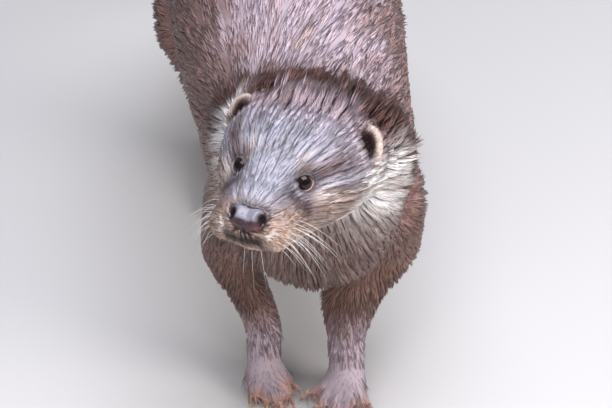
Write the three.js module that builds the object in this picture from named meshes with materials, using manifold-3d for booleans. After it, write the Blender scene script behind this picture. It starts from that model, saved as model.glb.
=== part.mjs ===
// A standing Eurasian otter at life size, in millimetres, +Z up.
// It faces -Y with its head turned to its own right (-X) and its four feet and tail end on the floor.
// Every body part is its own closed solid, parted from its neighbours by a thin gap.
import * as THREE from "three";
import { LoftGeometry } from "three/addons/geometries/LoftGeometry.js";
import { mergeVertices } from "three/addons/utils/BufferGeometryUtils.js";
import Module from "manifold-3d";

const wasm = await Module();
wasm.setup();

// ---- driving sizes ----
const gap = 0.4; // between touching parts
const headYaw = -26.7; // degrees, turned to the animal's right
const headRoll = 4.3; // degrees, left side lower
const eyeLevel = new THREE.Vector3(-38, -102, 235); // midpoint between the eyes
const headLength = 70; // from the eyes back to the neck
const eyeRadius = 6.1;
const eyeSpacing = 40; // between the eyeball centres
const noseWidth = 25;
const noseHeight = 18;
const earWidth = 17;
const earHeight = 27;
const forefootToeLength = 23;
const hindfootToeLength = 42;
const floorSlab = 2000; // size of the block that flattens the soles

const coat = { color: 0x6b5148, roughness: 0.75, metalness: 0 };
const muzzleCoat = { color: 0x8f7361, roughness: 0.75, metalness: 0 };
const earCoat = { color: 0xa8957f, roughness: 0.8, metalness: 0 };
const noseSkin = { color: 0x43343a, roughness: 0.35, metalness: 0 };
const footSkin = { color: 0x7d6f70, roughness: 0.6, metalness: 0 };
const clawHorn = { color: 0xb79a8a, roughness: 0.4, metalness: 0 };
const eyeGloss = { color: 0x1c1110, roughness: 0.06, metalness: 0 };

// ---- solids ----
function solidOf(geometry, matrix = new THREE.Matrix4()) {
  const bare = new THREE.BufferGeometry().copy(geometry).applyMatrix4(matrix);
  const merged = mergeVertices(bare.deleteAttribute("normal").deleteAttribute("uv"), 1e-4);
  const triVerts = new Uint32Array(merged.index.array);
  const vertProperties = new Float32Array(merged.attributes.position.array);
  return new wasm.Manifold(new wasm.Mesh({ numProp: 3, vertProperties, triVerts }));
}

function geometryOf(solid) {
  const { vertProperties, triVerts } = solid.getMesh();
  const geometry = new THREE.BufferGeometry();
  geometry.setAttribute("position", new THREE.BufferAttribute(new Float32Array(vertProperties), 3));
  geometry.setIndex(new THREE.BufferAttribute(new Uint32Array(triVerts), 1));
  geometry.computeVertexNormals();
  return geometry;
}

function ball(at, [x, y, z], turn = [0, 0, 0], segments = [16, 11]) {
  const matrix = new THREE.Matrix4().compose(
    new THREE.Vector3(...at),
    new THREE.Quaternion().setFromEuler(turned(...turn)),
    new THREE.Vector3(x, y, z),
  );
  return solidOf(new THREE.SphereGeometry(1, ...segments), matrix);
}

const floor = solidOf(
  new THREE.BoxGeometry(floorSlab, floorSlab, floorSlab),
  new THREE.Matrix4().makeTranslation(0, 0, -floorSlab / 2),
);

// ---- cross-sections along an axis ----
// Pitch, roll and yaw in degrees: a section's axis runs along its own +Y, its top is its own +Z.
function turned(pitch, roll, yaw) {
  return new THREE.Euler(...[pitch, roll, yaw].map(THREE.MathUtils.degToRad), "ZYX");
}

// An egg-shaped outline: half width, height of its top and depth of its bottom from the axis, and the
// level of its widest place. hw/hz and lw/lz are the corners between top, side and bottom.
function oval(sw, top, bottom, sz = 0, belly = 0.73) {
  const corner = 0.73;
  const hz = sz + (top - sz) * corner;
  const lz = sz + (bottom - sz) * corner;
  return { top, hw: sw * corner, hz, sw, sz, lw: sw * belly, lz, bottom };
}

// Adds to each key its distance along the chain of keys.
function measured(keys) {
  let at = 0;
  return keys.map((key, i) => {
    const before = keys[Math.max(i - 1, 0)];
    at += Math.hypot(key.x - before.x, key.y - before.y, key.z - before.z);
    return { yaw: 0, pitch: 0, roll: 0, ...key, at };
  });
}

// Every field of the keys at one distance, on a smooth curve that doesn't overshoot them.
function between(keys, at) {
  const last = keys.length - 2;
  const i = Math.min(last, Math.max(0, keys.findIndex((key) => key.at > at) - 1));
  const n = at >= keys[last].at ? last : i;
  const [a, b] = [keys[n], keys[n + 1]];
  const span = b.at - a.at;
  const t = THREE.MathUtils.clamp((at - a.at) / span, 0, 1);
  const rate = (field, k) => {
    const slopes = [k - 1, k].filter((j) => j >= 0 && j <= last);
    const [p, q] = slopes.map((j) => (keys[j + 1][field] - keys[j][field]) / (keys[j + 1].at - keys[j].at));
    if (q === undefined) return p;
    return p * q <= 0 ? 0 : (2 * p * q) / (p + q);
  };
  const mixed = {};
  for (const field of Object.keys(a)) {
    const [m0, m1] = [rate(field, n) * span, rate(field, n + 1) * span];
    const bend = (2 * t ** 3 - 3 * t * t + 1) * a[field] + (3 * t * t - 2 * t ** 3) * b[field];
    mixed[field] = bend + (t ** 3 - 2 * t * t + t) * m0 + (t ** 3 - t * t) * m1;
  }
  return mixed;
}

// The points of one section, spread round a closed curve through its eight named places.
function outline(key, sides, grow) {
  const corners = [
    [key.sw, key.sz],
    [key.lw, key.lz],
    [0, key.bottom],
    [-key.lw, key.lz],
    [-key.sw, key.sz],
    [-key.hw, key.hz],
    [0, key.top],
    [key.hw, key.hz],
  ].map(([x, z]) => new THREE.Vector3(x, 0, z));
  const curve = new THREE.CatmullRomCurve3(corners, true, "catmullrom", 0.5);
  const middle = new THREE.Vector3(0, 0, (key.top + key.bottom) / 2);
  const origin = new THREE.Vector3(key.x, key.y, key.z);
  const turn = turned(key.pitch, key.roll, key.yaw);
  return Array.from({ length: sides }, (_, i) => {
    const point = curve.getPoint(i / sides);
    const out = point.clone().sub(middle).normalize();
    return point.addScaledVector(out, grow).applyEuler(turn).add(origin);
  });
}

// A closed loft through the keys, from one distance to another. It can be grown on all sides.
function loft(keys, { from = 0, to = keys.at(-1).at, rings = 8, sides = 24, grow = 0 } = {}) {
  const sections = Array.from({ length: rings }, (_, i) => {
    const key = between(keys, from + ((to - from) * i) / (rings - 1));
    const shift = (i === rings - 1 ? grow : 0) - (i === 0 ? grow : 0);
    const along = new THREE.Vector3(0, shift, 0).applyEuler(turned(key.pitch, key.roll, key.yaw));
    return outline(key, sides, grow).map((point) => point.add(along));
  });
  return solidOf(new LoftGeometry(sections, { capStart: true, capEnd: true }));
}

function distanceAt(keys, name) {
  return keys.find((key) => key.name === name).at;
}

function numbersOnly(keys) {
  return keys.map(({ name, ...rest }) => rest);
}

// ---- head, in its own frame: origin between the eyes, -Y to the nose ----
const headAxis = [
  { y: -44.5, top: -12, hw: 5, hz: -13, sw: 7, sz: -18, lw: 5, lz: -24.5, bottom: -26.5 },
  { y: -42, top: -7.5, hw: 9, hz: -9.5, sw: 13, sz: -19, lw: 9, lz: -28, bottom: -29.5 },
  { y: -38, top: -4, hw: 12.5, hz: -6.5, sw: 18.5, sz: -20, lw: 13, lz: -30.5, bottom: -31.5 },
  { y: -32, top: -0.5, hw: 15, hz: -3.5, sw: 24, sz: -21, lw: 18, lz: -32, bottom: -32.5 },
  { y: -21, top: 4, hw: 15, hz: 0, sw: 27, sz: -21, lw: 22, lz: -33, bottom: -34 },
  { y: -10, top: 8, hw: 15, hz: 3.5, sw: 29.5, sz: -20, lw: 25, lz: -34, bottom: -36 },
  { y: 0, top: 12, hw: 15.5, hz: 6.5, sw: 33, sz: -19, lw: 27.5, lz: -35.5, bottom: -38.5 },
  { y: 12, top: 16, hw: 21, hz: 9.5, sw: 39, sz: -17, lw: 30.5, lz: -37.5, bottom: -41 },
  { y: 28, top: 19.5, hw: 31, hz: 13, sw: 45.5, sz: -16, lw: 33.5, lz: -39.5, bottom: -44 },
  { y: 45, top: 21, hw: 35, hz: 14, sw: 49.5, sz: -14, lw: 36.5, lz: -41.5, bottom: -47 },
  { y: headLength, top: 21, hw: 38.5, hz: 12, sw: 53, sz: -13, lw: 39, lz: -43, bottom: -50 },
].map((key) => ({ x: 0, z: 0, ...key }));
const headKeys = measured(headAxis);

const head = new THREE.Group();
head.position.copy(eyeLevel);
head.rotation.copy(turned(0, headRoll, headYaw));
head.updateMatrixWorld(true);

function skull(grow = 0) {
  const bone = loft(headKeys, { rings: 12, sides: 22, grow });
  const pads = [-1, 1].map((side) =>
    ball([side * 14, -28.5, -22], [12.5 + grow, 14 + grow, 11.5 + grow], [0, 0, side * 12], [12, 8]),
  );
  return bone.add(pads[0]).add(pads[1]);
}

function noseShape(grow = 0) {
  const half = [noseWidth / 2 + grow, 7.5 + grow, noseHeight / 2 + grow];
  return ball([0, -39, -11.5], half, [-8, 0, 0], [12, 8]);
}

function noseSolid() {
  const nostril = (side) => ball([side * 8.6, -45, -10.7], [3.2, 4.2, 2.4], [0, side * 25, 0], [7, 5]);
  return noseShape().subtract(nostril(-1)).subtract(nostril(1));
}

function eyeShape(side, grow = 0) {
  const radius = eyeRadius + grow;
  return ball([(side * eyeSpacing) / 2, 2, -1.2], [radius, radius, radius], [0, 0, 0], [12, 8]);
}

// The ear is an upright shell whose cup also hollows the head in front of it.
const earTurn = (side) => [-25, side * -10, side * 14];
const earMiddle = (side) => new THREE.Vector3(side * 43.4, 55.6, 3.4);

function earCup(side) {
  const hollow = new THREE.Vector3(side * -1.9, -4.8, 0).applyEuler(turned(...earTurn(side)));
  hollow.add(earMiddle(side));
  const half = [earWidth / 2 - 2.4, 5.4, earHeight / 2 - 3.4];
  return ball(hollow.toArray(), half, earTurn(side), [8, 5]);
}

function earSolid(side) {
  const outer = ball(earMiddle(side).toArray(), [earWidth / 2, 5, earHeight / 2], earTurn(side), [11, 7]);
  return outer.subtract(earCup(side)).subtract(skull(gap));
}

const jawKeys = measured(
  [
    { y: -35.5, ...oval(6, -27, -34, -30) },
    { y: -32.5, ...oval(11.5, -26, -37, -30) },
    { y: -24, ...oval(17.5, -26, -40, -30) },
    { y: -8, ...oval(22, -26, -42, -30) },
    { y: 7, ...oval(24, -26, -42.5, -31) },
  ].map((key) => ({ x: 0, z: 0, ...key })),
);

function jawSolid() {
  return loft(jawKeys, { rings: 6, sides: 12 }).subtract(skull(gap));
}

function headSolid() {
  const bare = skull().subtract(noseShape(gap));
  const hollows = [eyeShape(-1, gap), eyeShape(1, gap), earCup(-1), earCup(1)];
  return hollows.reduce((rest, hollow) => rest.subtract(hollow), bare);
}

// ---- neck, trunk and tail, along one curved axis ----
const neckStart = new THREE.Vector3(0, headLength, 0).applyMatrix4(head.matrixWorld);
const headEnd = headAxis.at(-1);
const spine = measured([
  { ...headEnd, name: "nape", ...neckStart, yaw: headYaw, roll: headRoll },
  { name: "neck", x: 0, y: 0, z: 214, yaw: -13, pitch: -8, roll: 2, ...oval(63, 28, -118, -22, 0.74) },
  { name: "withers", x: 0, y: 44, z: 190, pitch: -4, ...oval(70, 46, -112, -18, 0.74) },
  { name: "chest", x: 0, y: 108, z: 185, ...oval(74, 61, -99, -12, 0.72) },
  { name: "back", x: 0, y: 188, z: 186, ...oval(80, 74, -92, -10) },
  { name: "loin", x: 0, y: 264, z: 186, ...oval(82, 71, -80, -10) },
  { name: "hips", x: 0, y: 334, z: 182, pitch: -10, ...oval(73, 55, -64, -6) },
  { name: "rump", x: 0, y: 386, z: 166, pitch: -28, ...oval(52, 40, -43) },
  { name: "tailRoot", x: 0, y: 432, z: 138, pitch: -34, ...oval(34, 31, -31) },
  { name: "tailUpper", x: 3, y: 492, z: 96, pitch: -35, yaw: -4, ...oval(26, 24, -24) },
  { name: "tailMiddle", x: 9, y: 558, z: 54, pitch: -28, yaw: -7, ...oval(20.5, 19, -19) },
  { name: "tailBend", x: 18, y: 622, z: 27, pitch: -15, yaw: -9, ...oval(16.5, 15.5, -15.5) },
  { name: "tailLower", x: 30, y: 694, z: 12, pitch: -4, yaw: -10, ...oval(12.8, 12, -12.4) },
  { name: "tailEnd", x: 42, y: 762, z: 6.4, pitch: -2, yaw: -10, ...oval(7.6, 6.8, -6.8) },
  { name: "tailTip", x: 49, y: 800, z: 3.4, pitch: -2, yaw: -10, ...oval(3, 2.6, -2.6) },
]);
const spineKeys = numbersOnly(spine);
const spots = {
  nape: gap,
  neck: distanceAt(spine, "neck") + 28,
  trunk: distanceAt(spine, "rump") + 8,
  tailBase: distanceAt(spine, "tailUpper") + 34,
  tailMiddle: distanceAt(spine, "tailBend") + 30,
  tailTip: distanceAt(spine, "tailTip"),
};

function spineSolid(from, to, rings, sides, grow = 0) {
  return loft(spineKeys, { from, to, rings, sides, grow });
}

const neckSolid = (grow) => spineSolid(spots.nape, spots.neck, 6, 24, grow);
const trunkSolid = (grow) => spineSolid(spots.neck + gap, spots.trunk, 12, 24, grow);

// ---- legs: each is a loft from inside the trunk to the sole ----
const right = -1;
const left = 1;

function leg(keys) {
  return measured(keys.map(({ half, depth, ...key }) => ({ ...key, ...oval(half, depth, -depth) })));
}

// Where each leg's joints and feet stand. Elbow, forearm and knee also give their half width.
const forelegs = [
  {
    side: right,
    name: "right",
    elbow: [-54, 40, 98, 21],
    forearm: [-43, 36, 68, 16],
    foot: [-33, 32],
    toeIn: 6,
    spread: 0.45,
  },
  {
    side: left,
    name: "left",
    elbow: [48, 36, 98, 25],
    forearm: [27, 27, 68, 22],
    foot: [21, 16],
    toeIn: -14,
    spread: 0.95,
  },
];
const hindlegs = [
  { side: right, name: "right", knee: [-52, 260, 106, 21], foot: [-34, 320], toeIn: 3, spread: 0.7 },
  { side: left, name: "left", knee: [63, 258, 106, 24], foot: [54, 332], toeIn: -3, spread: 1 },
];

function forelegKeys({ side, elbow, forearm, foot }) {
  const at = ([x, y, z, half]) => ({ x, y, z, half });
  return leg([
    { x: side * 34, y: 28, z: 184, half: 24, depth: 28, pitch: -84 },
    { x: side * 51, y: 24, z: 144, half: 23, depth: 35, pitch: -82 },
    { ...at(elbow), depth: 25, pitch: -88 },
    { ...at(forearm), depth: 18, pitch: -93 },
    { x: foot[0], y: foot[1] + 1, z: 38, half: 14, depth: 13, pitch: -98 },
    { x: foot[0], y: foot[1] - 4, z: 8, half: 14, depth: 12, pitch: -98 },
  ]);
}

function thighKeys({ side, knee }) {
  return leg([
    { x: side * 30, y: 330, z: 186, half: 30, depth: 38, pitch: -120 },
    { x: side * 48, y: 314, z: 166, half: 34, depth: 50, pitch: -122 },
    { x: side * 60, y: 288, z: 140, half: 31, depth: 45, pitch: -126 },
    { x: knee[0], y: knee[1] + 8, z: knee[2] + 4, half: knee[3], depth: 31, pitch: -128 },
    { x: knee[0], y: knee[1] - 10, z: knee[2] - 14, half: knee[3] / 2, depth: 14, pitch: -128 },
  ]);
}

function shankKeys({ knee, foot }) {
  return leg([
    { x: knee[0], y: knee[1] + 8, z: knee[2] + 2, half: 16, depth: 18, pitch: -50 },
    { x: (knee[0] * 2 + foot[0]) / 3, y: (knee[1] + foot[1]) / 2, z: 76, half: 17.5, depth: 22, pitch: -48 },
    { x: foot[0], y: foot[1] + 10, z: 42, half: 12.5, depth: 14, pitch: -60 },
    { x: foot[0], y: foot[1] + 8, z: 10, half: 11, depth: 12, pitch: -88 },
  ]);
}

// ---- feet, in their own frame: origin on the floor under the ankle, toes to -Y, inner toe first ----
const forefootShape = {
  toeLength: forefootToeLength,
  palm: [
    { y: 9, half: 9, high: 17 },
    { y: 2, half: 14, high: 25 },
    { y: -10, half: 17.5, high: 22 },
    { y: -20, half: 18, high: 16 },
    { y: -27, half: 15, high: 11 },
  ],
  toes: [
    { from: [-13.5, -9], angle: 40, size: 0.76 },
    { from: [-9.5, -19], angle: 16, size: 0.97 },
    { from: [-2, -22.5], angle: 4, size: 1 },
    { from: [6, -21.5], angle: -8, size: 0.98 },
    { from: [13, -14], angle: -26, size: 0.88 },
  ],
  thickness: 4.2,
};
const hindfootShape = {
  toeLength: hindfootToeLength,
  palm: [
    { y: 26, half: 9, high: 18 },
    { y: 18, half: 13, high: 28 },
    { y: 2, half: 14.5, high: 26 },
    { y: -18, half: 18, high: 19 },
    { y: -34, half: 21, high: 14 },
    { y: -44, half: 18, high: 10 },
  ],
  toes: [
    { from: [-17, -24], angle: 20, size: 0.68 },
    { from: [-10.5, -34], angle: 10, size: 0.9 },
    { from: [-1, -38], angle: 2, size: 1 },
    { from: [8.5, -36], angle: -7, size: 1 },
    { from: [16.5, -28], angle: -17, size: 0.88 },
  ],
  thickness: 4.7,
};

// Where a toe's points lie: a share of its length out from the knuckle, at a height above the floor.
// Limb is the foot's place in the animal: its side mirrors the foot and its spread fans the toes.
function toePoint({ from, angle, size }, shape, limb, share, z) {
  const reach = shape.toeLength * size * share;
  const turn = THREE.MathUtils.degToRad(angle * limb.spread);
  const narrow = 0.82 + 0.18 * limb.spread;
  return { x: limb.side * (from[0] * narrow - Math.sin(turn) * reach), y: from[1] - Math.cos(turn) * reach, z };
}

function toeSolid(toe, shape, limb, grow = 0) {
  const r = shape.thickness * (0.6 + 0.4 * toe.size);
  const yaw = 180 - toe.angle * limb.spread * limb.side;
  const key = (share, z, k) => ({ ...toePoint(toe, shape, limb, share, z), yaw, ...oval(r * k, r * k, -r * k) });
  const keys = measured([
    key(-0.2, 10.5, 0.95),
    key(0.25, 9.4, 1.0),
    key(0.62, 6.2, 0.9),
    key(0.86, 4.6, 1.0),
    key(1.0, 4.2, 0.82),
    key(1.06, 3.9, 0.4),
  ]);
  return loft(keys, { rings: 5, sides: 6, grow });
}

function clawSolid(toe, shape, limb) {
  const long = 8 / shape.toeLength;
  const yaw = 180 - toe.angle * limb.spread * limb.side;
  const key = (share, z, r, pitch) => ({
    ...toePoint(toe, shape, limb, 0.98 + share * long, z),
    yaw,
    pitch,
    ...oval(r * 0.8 * toe.size, r * toe.size, -r * toe.size),
  });
  const keys = measured([
    key(-0.42, 6.8, 2.3, -2),
    key(0.12, 6.6, 2.1, -12),
    key(0.55, 5.2, 1.5, -32),
    key(0.9, 3.4, 0.6, -46),
  ]);
  return loft(keys, { rings: 3, sides: 5 }).subtract(toeSolid(toe, shape, limb, gap));
}

// The web is one thin plate whose edge swings in between the toes.
function webSolid(shape, limb) {
  const web = new THREE.Shape();
  const heel = toePoint(shape.toes[2], shape, limb, -0.5, 0);
  const ends = shape.toes.map((toe) => toePoint(toe, shape, limb, 0.8, 0));
  web.moveTo(heel.x, heel.y);
  web.lineTo(ends[0].x, ends[0].y);
  ends.slice(1).forEach((end, i) => {
    const swing = new THREE.Vector2((ends[i].x + end.x) / 2, (ends[i].y + end.y) / 2).lerp(heel, 0.3);
    web.quadraticCurveTo(swing.x, swing.y, end.x, end.y);
  });
  web.closePath();
  const plate = new THREE.ExtrudeGeometry(web, { depth: 3, bevelEnabled: false, curveSegments: 2 });
  return solidOf(plate, new THREE.Matrix4().makeTranslation(0, 0, 2.8));
}

function palmSolid(shape) {
  const sink = 1.5; // its underside is cut flat by the floor
  const keys = shape.palm.map(({ y, half, high }) => ({
    x: 0,
    y,
    z: 0,
    yaw: 180,
    ...oval(half, high, -sink, high * 0.35),
  }));
  return loft(measured(keys), { rings: 5, sides: 10 });
}

function footSolid(shape, limb, ankle) {
  const toes = shape.toes.map((toe) => toeSolid(toe, shape, limb));
  const whole = [webSolid(shape, limb), ankle, ...toes].reduce((sum, piece) => sum.add(piece), palmSolid(shape));
  return whole.subtract(floor);
}

// ---- assembly ----
const otter = new THREE.Group();
otter.add(head);

function addMesh(parent, name, solid, look) {
  const mesh = new THREE.Mesh(geometryOf(solid), new THREE.MeshStandardMaterial(look));
  mesh.name = name;
  parent.add(mesh);
}

addMesh(head, "head", headSolid(), coat);
addMesh(head, "lower_jaw", jawSolid(), muzzleCoat);
addMesh(head, "nose", noseSolid(), noseSkin);
for (const [side, name] of [[right, "right"], [left, "left"]]) {
  addMesh(head, `eye_${name}`, eyeShape(side), eyeGloss);
  addMesh(head, `ear_${name}`, earSolid(side), earCoat);
}

addMesh(otter, "neck", neckSolid(0), coat);
addMesh(otter, "trunk", trunkSolid(0), coat);
addMesh(otter, "tail_base", spineSolid(spots.trunk + gap, spots.tailBase, 5, 16), coat);
addMesh(otter, "tail_middle", spineSolid(spots.tailBase + gap, spots.tailMiddle, 5, 12), coat);
addMesh(otter, "tail_tip", spineSolid(spots.tailMiddle + gap, spots.tailTip, 6, 10).subtract(floor), coat);

// Cuts a leg's segment free of the trunk and neck.
function clearOfBody(solid) {
  return solid.subtract(trunkSolid(gap)).subtract(neckSolid(gap));
}

function addFoot(name, shape, limb, ankleInBody) {
  const group = new THREE.Group();
  group.position.set(limb.foot[0], limb.foot[1], 0);
  group.rotation.z = THREE.MathUtils.degToRad(limb.toeIn);
  group.updateMatrixWorld(true);
  const ankle = solidOf(geometryOf(ankleInBody), group.matrixWorld.clone().invert());
  addMesh(group, name, footSolid(shape, limb, ankle), footSkin);
  shape.toes.forEach((toe, i) => addMesh(group, `${name}_claw_${i + 1}`, clawSolid(toe, shape, limb), clawHorn));
  otter.add(group);
}

for (const limb of forelegs) {
  const keys = forelegKeys(limb);
  const [elbow, wrist, sole] = [keys[2].at, keys[4].at - 2, keys[5].at];
  const upper = loft(keys, { to: elbow, rings: 6, sides: 16 });
  const lower = loft(keys, { from: elbow + gap, to: wrist, rings: 5, sides: 12 });
  const ankle = loft(keys, { from: wrist + gap, to: sole, rings: 3, sides: 10 });
  addMesh(otter, `upper_arm_${limb.name}`, clearOfBody(upper), coat);
  addMesh(otter, `forearm_${limb.name}`, clearOfBody(lower), coat);
  addFoot(`forefoot_${limb.name}`, forefootShape, limb, ankle);
}

for (const limb of hindlegs) {
  const thigh = (grow) => loft(thighKeys(limb), { rings: 6, sides: 16, grow });
  const keys = shankKeys(limb);
  const [hock, sole] = [keys[2].at, keys[3].at];
  const shank = loft(keys, { to: hock, rings: 5, sides: 12 }).subtract(thigh(gap));
  const ankle = loft(keys, { from: hock + gap, to: sole, rings: 3, sides: 10 });
  addMesh(otter, `thigh_${limb.name}`, clearOfBody(thigh(0)), coat);
  addMesh(otter, `shank_${limb.name}`, clearOfBody(shank), coat);
  addFoot(`hindfoot_${limb.name}`, hindfootShape, limb, ankle);
}

// The origin is the middle of the otter's footprint box, on the floor.
otter.updateMatrixWorld(true);
const box = new THREE.Box3().setFromObject(otter, true);
otter.position.set(-(box.min.x + box.max.x) / 2, -(box.min.y + box.max.y) / 2, -box.min.z);

const part = new THREE.Group();
part.add(otter);
export default part;
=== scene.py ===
import math
from heapq import heappop, heappush

import bmesh
import bpy
import numpy as np
from mathutils import Matrix, Vector
from mathutils.bvhtree import BVHTree
from mathutils.kdtree import KDTree


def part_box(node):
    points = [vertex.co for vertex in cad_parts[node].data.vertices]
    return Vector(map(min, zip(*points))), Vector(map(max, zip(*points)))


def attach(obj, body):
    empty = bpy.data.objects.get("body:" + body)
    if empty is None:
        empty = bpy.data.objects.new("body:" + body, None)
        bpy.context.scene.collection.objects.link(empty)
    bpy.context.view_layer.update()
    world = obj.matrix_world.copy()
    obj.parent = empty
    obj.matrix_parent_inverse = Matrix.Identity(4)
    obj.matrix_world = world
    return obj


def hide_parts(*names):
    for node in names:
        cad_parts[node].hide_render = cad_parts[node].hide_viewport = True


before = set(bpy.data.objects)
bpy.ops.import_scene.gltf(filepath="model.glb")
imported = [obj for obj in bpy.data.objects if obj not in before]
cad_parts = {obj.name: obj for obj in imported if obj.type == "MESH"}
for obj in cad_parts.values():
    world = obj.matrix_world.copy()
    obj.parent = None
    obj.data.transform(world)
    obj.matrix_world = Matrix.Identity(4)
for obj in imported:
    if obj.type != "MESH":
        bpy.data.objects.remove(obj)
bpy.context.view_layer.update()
print("frame loaded:", len(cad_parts), "nodes")

# Head-local places are in mm from the middle between the eyes: x to the animal's left, y back, z up.
headPlace = {
    "left": (0.893, -0.447, -0.075),
    "back": (0.4497, 0.8941, 0.0063),
    "up": (0.064, -0.041, 0.997),
    "eyeOffset": (0.0, 2.0, -1.2),  # the middle of the two eyeballs in that frame
}
headAxes = np.array([headPlace["left"], headPlace["back"], headPlace["up"]])
eyeBoxes = [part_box("eye_left"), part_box("eye_right")]
headMiddle = np.array(sum((low + high for low, high in eyeBoxes), Vector())) / 4
headMiddle = headMiddle - np.array(headPlace["eyeOffset"]) @ headAxes / 1000


def toHead(points):
    return (np.asarray(points, float) - headMiddle) @ headAxes.T * 1000


def fromHead(points):
    return headMiddle + (np.asarray(points, float) @ headAxes) / 1000


def unit(vectors):
    return vectors / np.maximum(np.linalg.norm(vectors, axis=-1, keepdims=True), 1e-12)


def lengths(vectors):
    return np.linalg.norm(vectors, axis=-1)


def blend(start, end, amount):
    return start + (end - start) * amount


def ramp(values, low, high):
    t = np.clip((values - low) / (high - low), 0, 1)
    return t * t * (3 - 2 * t)


def nearLine(h, start, end):
    start, end = np.array(start, float), np.array(end, float)
    along = np.clip(((h - start) @ (end - start)) / ((end - start) @ (end - start)), 0, 1)
    return lengths(h - start - along[:, None] * (end - start))


def spot(h, centre, size):
    return np.exp(-(((h - np.array(centre, float)) / np.array(size, float)) ** 2).sum(1))


def wander(places, size, seed):
    # Smooth value noise, -1 to 1, from a few turned waves.
    rng = np.random.default_rng(seed)
    total = np.zeros(len(places))
    for _ in range(9):
        way = unit(rng.normal(size=3)) * rng.uniform(0.6, 1.7)
        total += np.sin(places @ way * 2 * math.pi / size + rng.uniform(0, 6.28))
    return np.clip(total / 3, -1, 1)


def mirrored(h):
    return np.column_stack([np.abs(h[:, 0]), h[:, 1], h[:, 2]])


def linear(colour):
    c = np.asarray(colour, float) / 255
    return np.where(c <= 0.04045, c / 12.92, ((c + 0.055) / 1.055) ** 2.4)


def newPaint(name):
    # A material, its node tree and the inputs of its shader.
    paint = bpy.data.materials.new(name)
    paint.use_nodes = True
    return paint, paint.node_tree, paint.node_tree.nodes["Principled BSDF"].inputs


def addNode(tree, kind, settings={}, values={}, sources={}):
    # Adds a shader node and gives back its outputs; sources are the outputs that its inputs take.
    node = tree.nodes.new("ShaderNode" + kind)
    for key, value in settings.items():
        setattr(node, key, value)
    for key, value in values.items():
        node.inputs[key].default_value = value
    for key, source in sources.items():
        tree.links.new(source, node.inputs[key])
    return node.outputs


# Camera, floor and light.
stageLook = {
    "lens": 210.9,  # mm, on a 36 mm sensor
    "distance": 2.2,
    "right": (0.9954, -0.0958, 0.0),
    "up": (0.0479, 0.4977, 0.8660),
    "aim": (0.0209, -0.0184),  # metres to the right and up from the middle between the eyes
    "floorColour": (205, 204, 203),
    "skyColour": (226, 229, 236),
    "skyStrength": 0.34,
}


def makeStage(look):
    right, up = Vector(look["right"]).normalized(), Vector(look["up"])
    toward = right.cross(up).normalized()
    up = toward.cross(right).normalized()
    aim = Vector(headMiddle) + look["aim"][0] * right + look["aim"][1] * up
    camera = bpy.data.objects.new("camera", bpy.data.cameras.new("camera"))
    bpy.context.scene.collection.objects.link(camera)
    camera.data.lens = look["lens"]
    camera.data.sensor_width = 36
    camera.data.clip_start, camera.data.clip_end = 0.05, 50
    camera.location = aim + toward * look["distance"]
    camera.rotation_mode = "QUATERNION"
    camera.rotation_quaternion = (-toward).to_track_quat("-Z", "Y")
    bpy.context.view_layer.update()
    bpy.context.scene.camera = camera

    mesh = bpy.data.meshes.new("floor")
    mesh.from_pydata([(-6, -6, 0), (6, -6, 0), (6, 6, 0), (-6, 6, 0)], [], [(0, 1, 2, 3)])
    floor = bpy.data.objects.new("floor", mesh)
    bpy.context.scene.collection.objects.link(floor)
    paint, _, shader = newPaint("floorPaint")
    shader["Base Color"].default_value = (*linear(look["floorColour"]), 1)
    shader["Roughness"].default_value = 0.9
    mesh.materials.append(paint)

    world = bpy.data.worlds.new("studio")
    world.use_nodes = True
    world.node_tree.nodes["Background"].inputs[0].default_value = (*linear(look["skyColour"]), 1)
    world.node_tree.nodes["Background"].inputs[1].default_value = look["skyStrength"]
    bpy.context.scene.world = world
    bpy.context.scene.view_settings.view_transform = "Standard"


def addLight(name, place, target, size, power, colour, inMirrors):
    light = bpy.data.lights.new(name, "AREA")
    light.shape = "RECTANGLE"
    light.size, light.size_y = size
    light.energy = power
    light.color = linear(colour)
    lamp = bpy.data.objects.new(name, light)
    lamp.visible_glossy = inMirrors
    lamp.location = place
    lamp.rotation_mode = "QUATERNION"
    lamp.rotation_quaternion = (Vector(target) - Vector(place)).to_track_quat("-Z", "Y")
    bpy.context.scene.collection.objects.link(lamp)


makeStage(stageLook)
lightPlan = {  # place and target in metres, size in metres, watts, colour, seen in wet surfaces
    "overheadSoftbox": ((0.15, -0.65, 1.75), (-0.02, -0.3, 0.15), (1.5, 1.2), 38, (244, 245, 255), True),
    "frontFill": ((-0.9, -2.2, 1.0), (-0.02, -0.4, 0.2), (1.4, 1.0), 16, (255, 246, 240), False),
    "sideFill": ((1.7, -1.3, 0.95), (0.0, -0.35, 0.16), (1.3, 1.0), 35, (255, 249, 246), False),
}
for name, plan in lightPlan.items():
    addLight(name, *plan)
print("stage set")


def meshArrays(mesh):
    places = np.empty(len(mesh.vertices) * 3, np.float32)
    mesh.vertices.foreach_get("co", places)
    mesh.calc_loop_triangles()
    corners = np.empty(len(mesh.loop_triangles) * 3, np.int32)
    mesh.loop_triangles.foreach_get("vertices", corners)
    return places.reshape(-1, 3).astype(float), corners.reshape(-1, 3)


def meshEdges(mesh):
    ends = np.empty(len(mesh.edges) * 2, np.int32)
    mesh.edges.foreach_get("vertices", ends)
    return ends.reshape(-1, 2)


def newMesh(name, places, faces):
    mesh = bpy.data.meshes.new(name)
    mesh.vertices.add(len(places))
    mesh.vertices.foreach_set("co", np.asarray(places, np.float32).ravel())
    side = faces.shape[1]
    mesh.loops.add(faces.size)
    mesh.loops.foreach_set("vertex_index", faces.astype(np.int32).ravel())
    mesh.polygons.add(len(faces))
    mesh.polygons.foreach_set("loop_start", np.arange(0, faces.size, side, dtype=np.int32))
    mesh.update(calc_edges=True)
    mesh.polygons.foreach_set("use_smooth", np.ones(len(faces), bool))
    return mesh


def newObject(name, mesh):
    thing = bpy.data.objects.new(name, mesh)
    bpy.context.scene.collection.objects.link(thing)
    return thing


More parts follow.
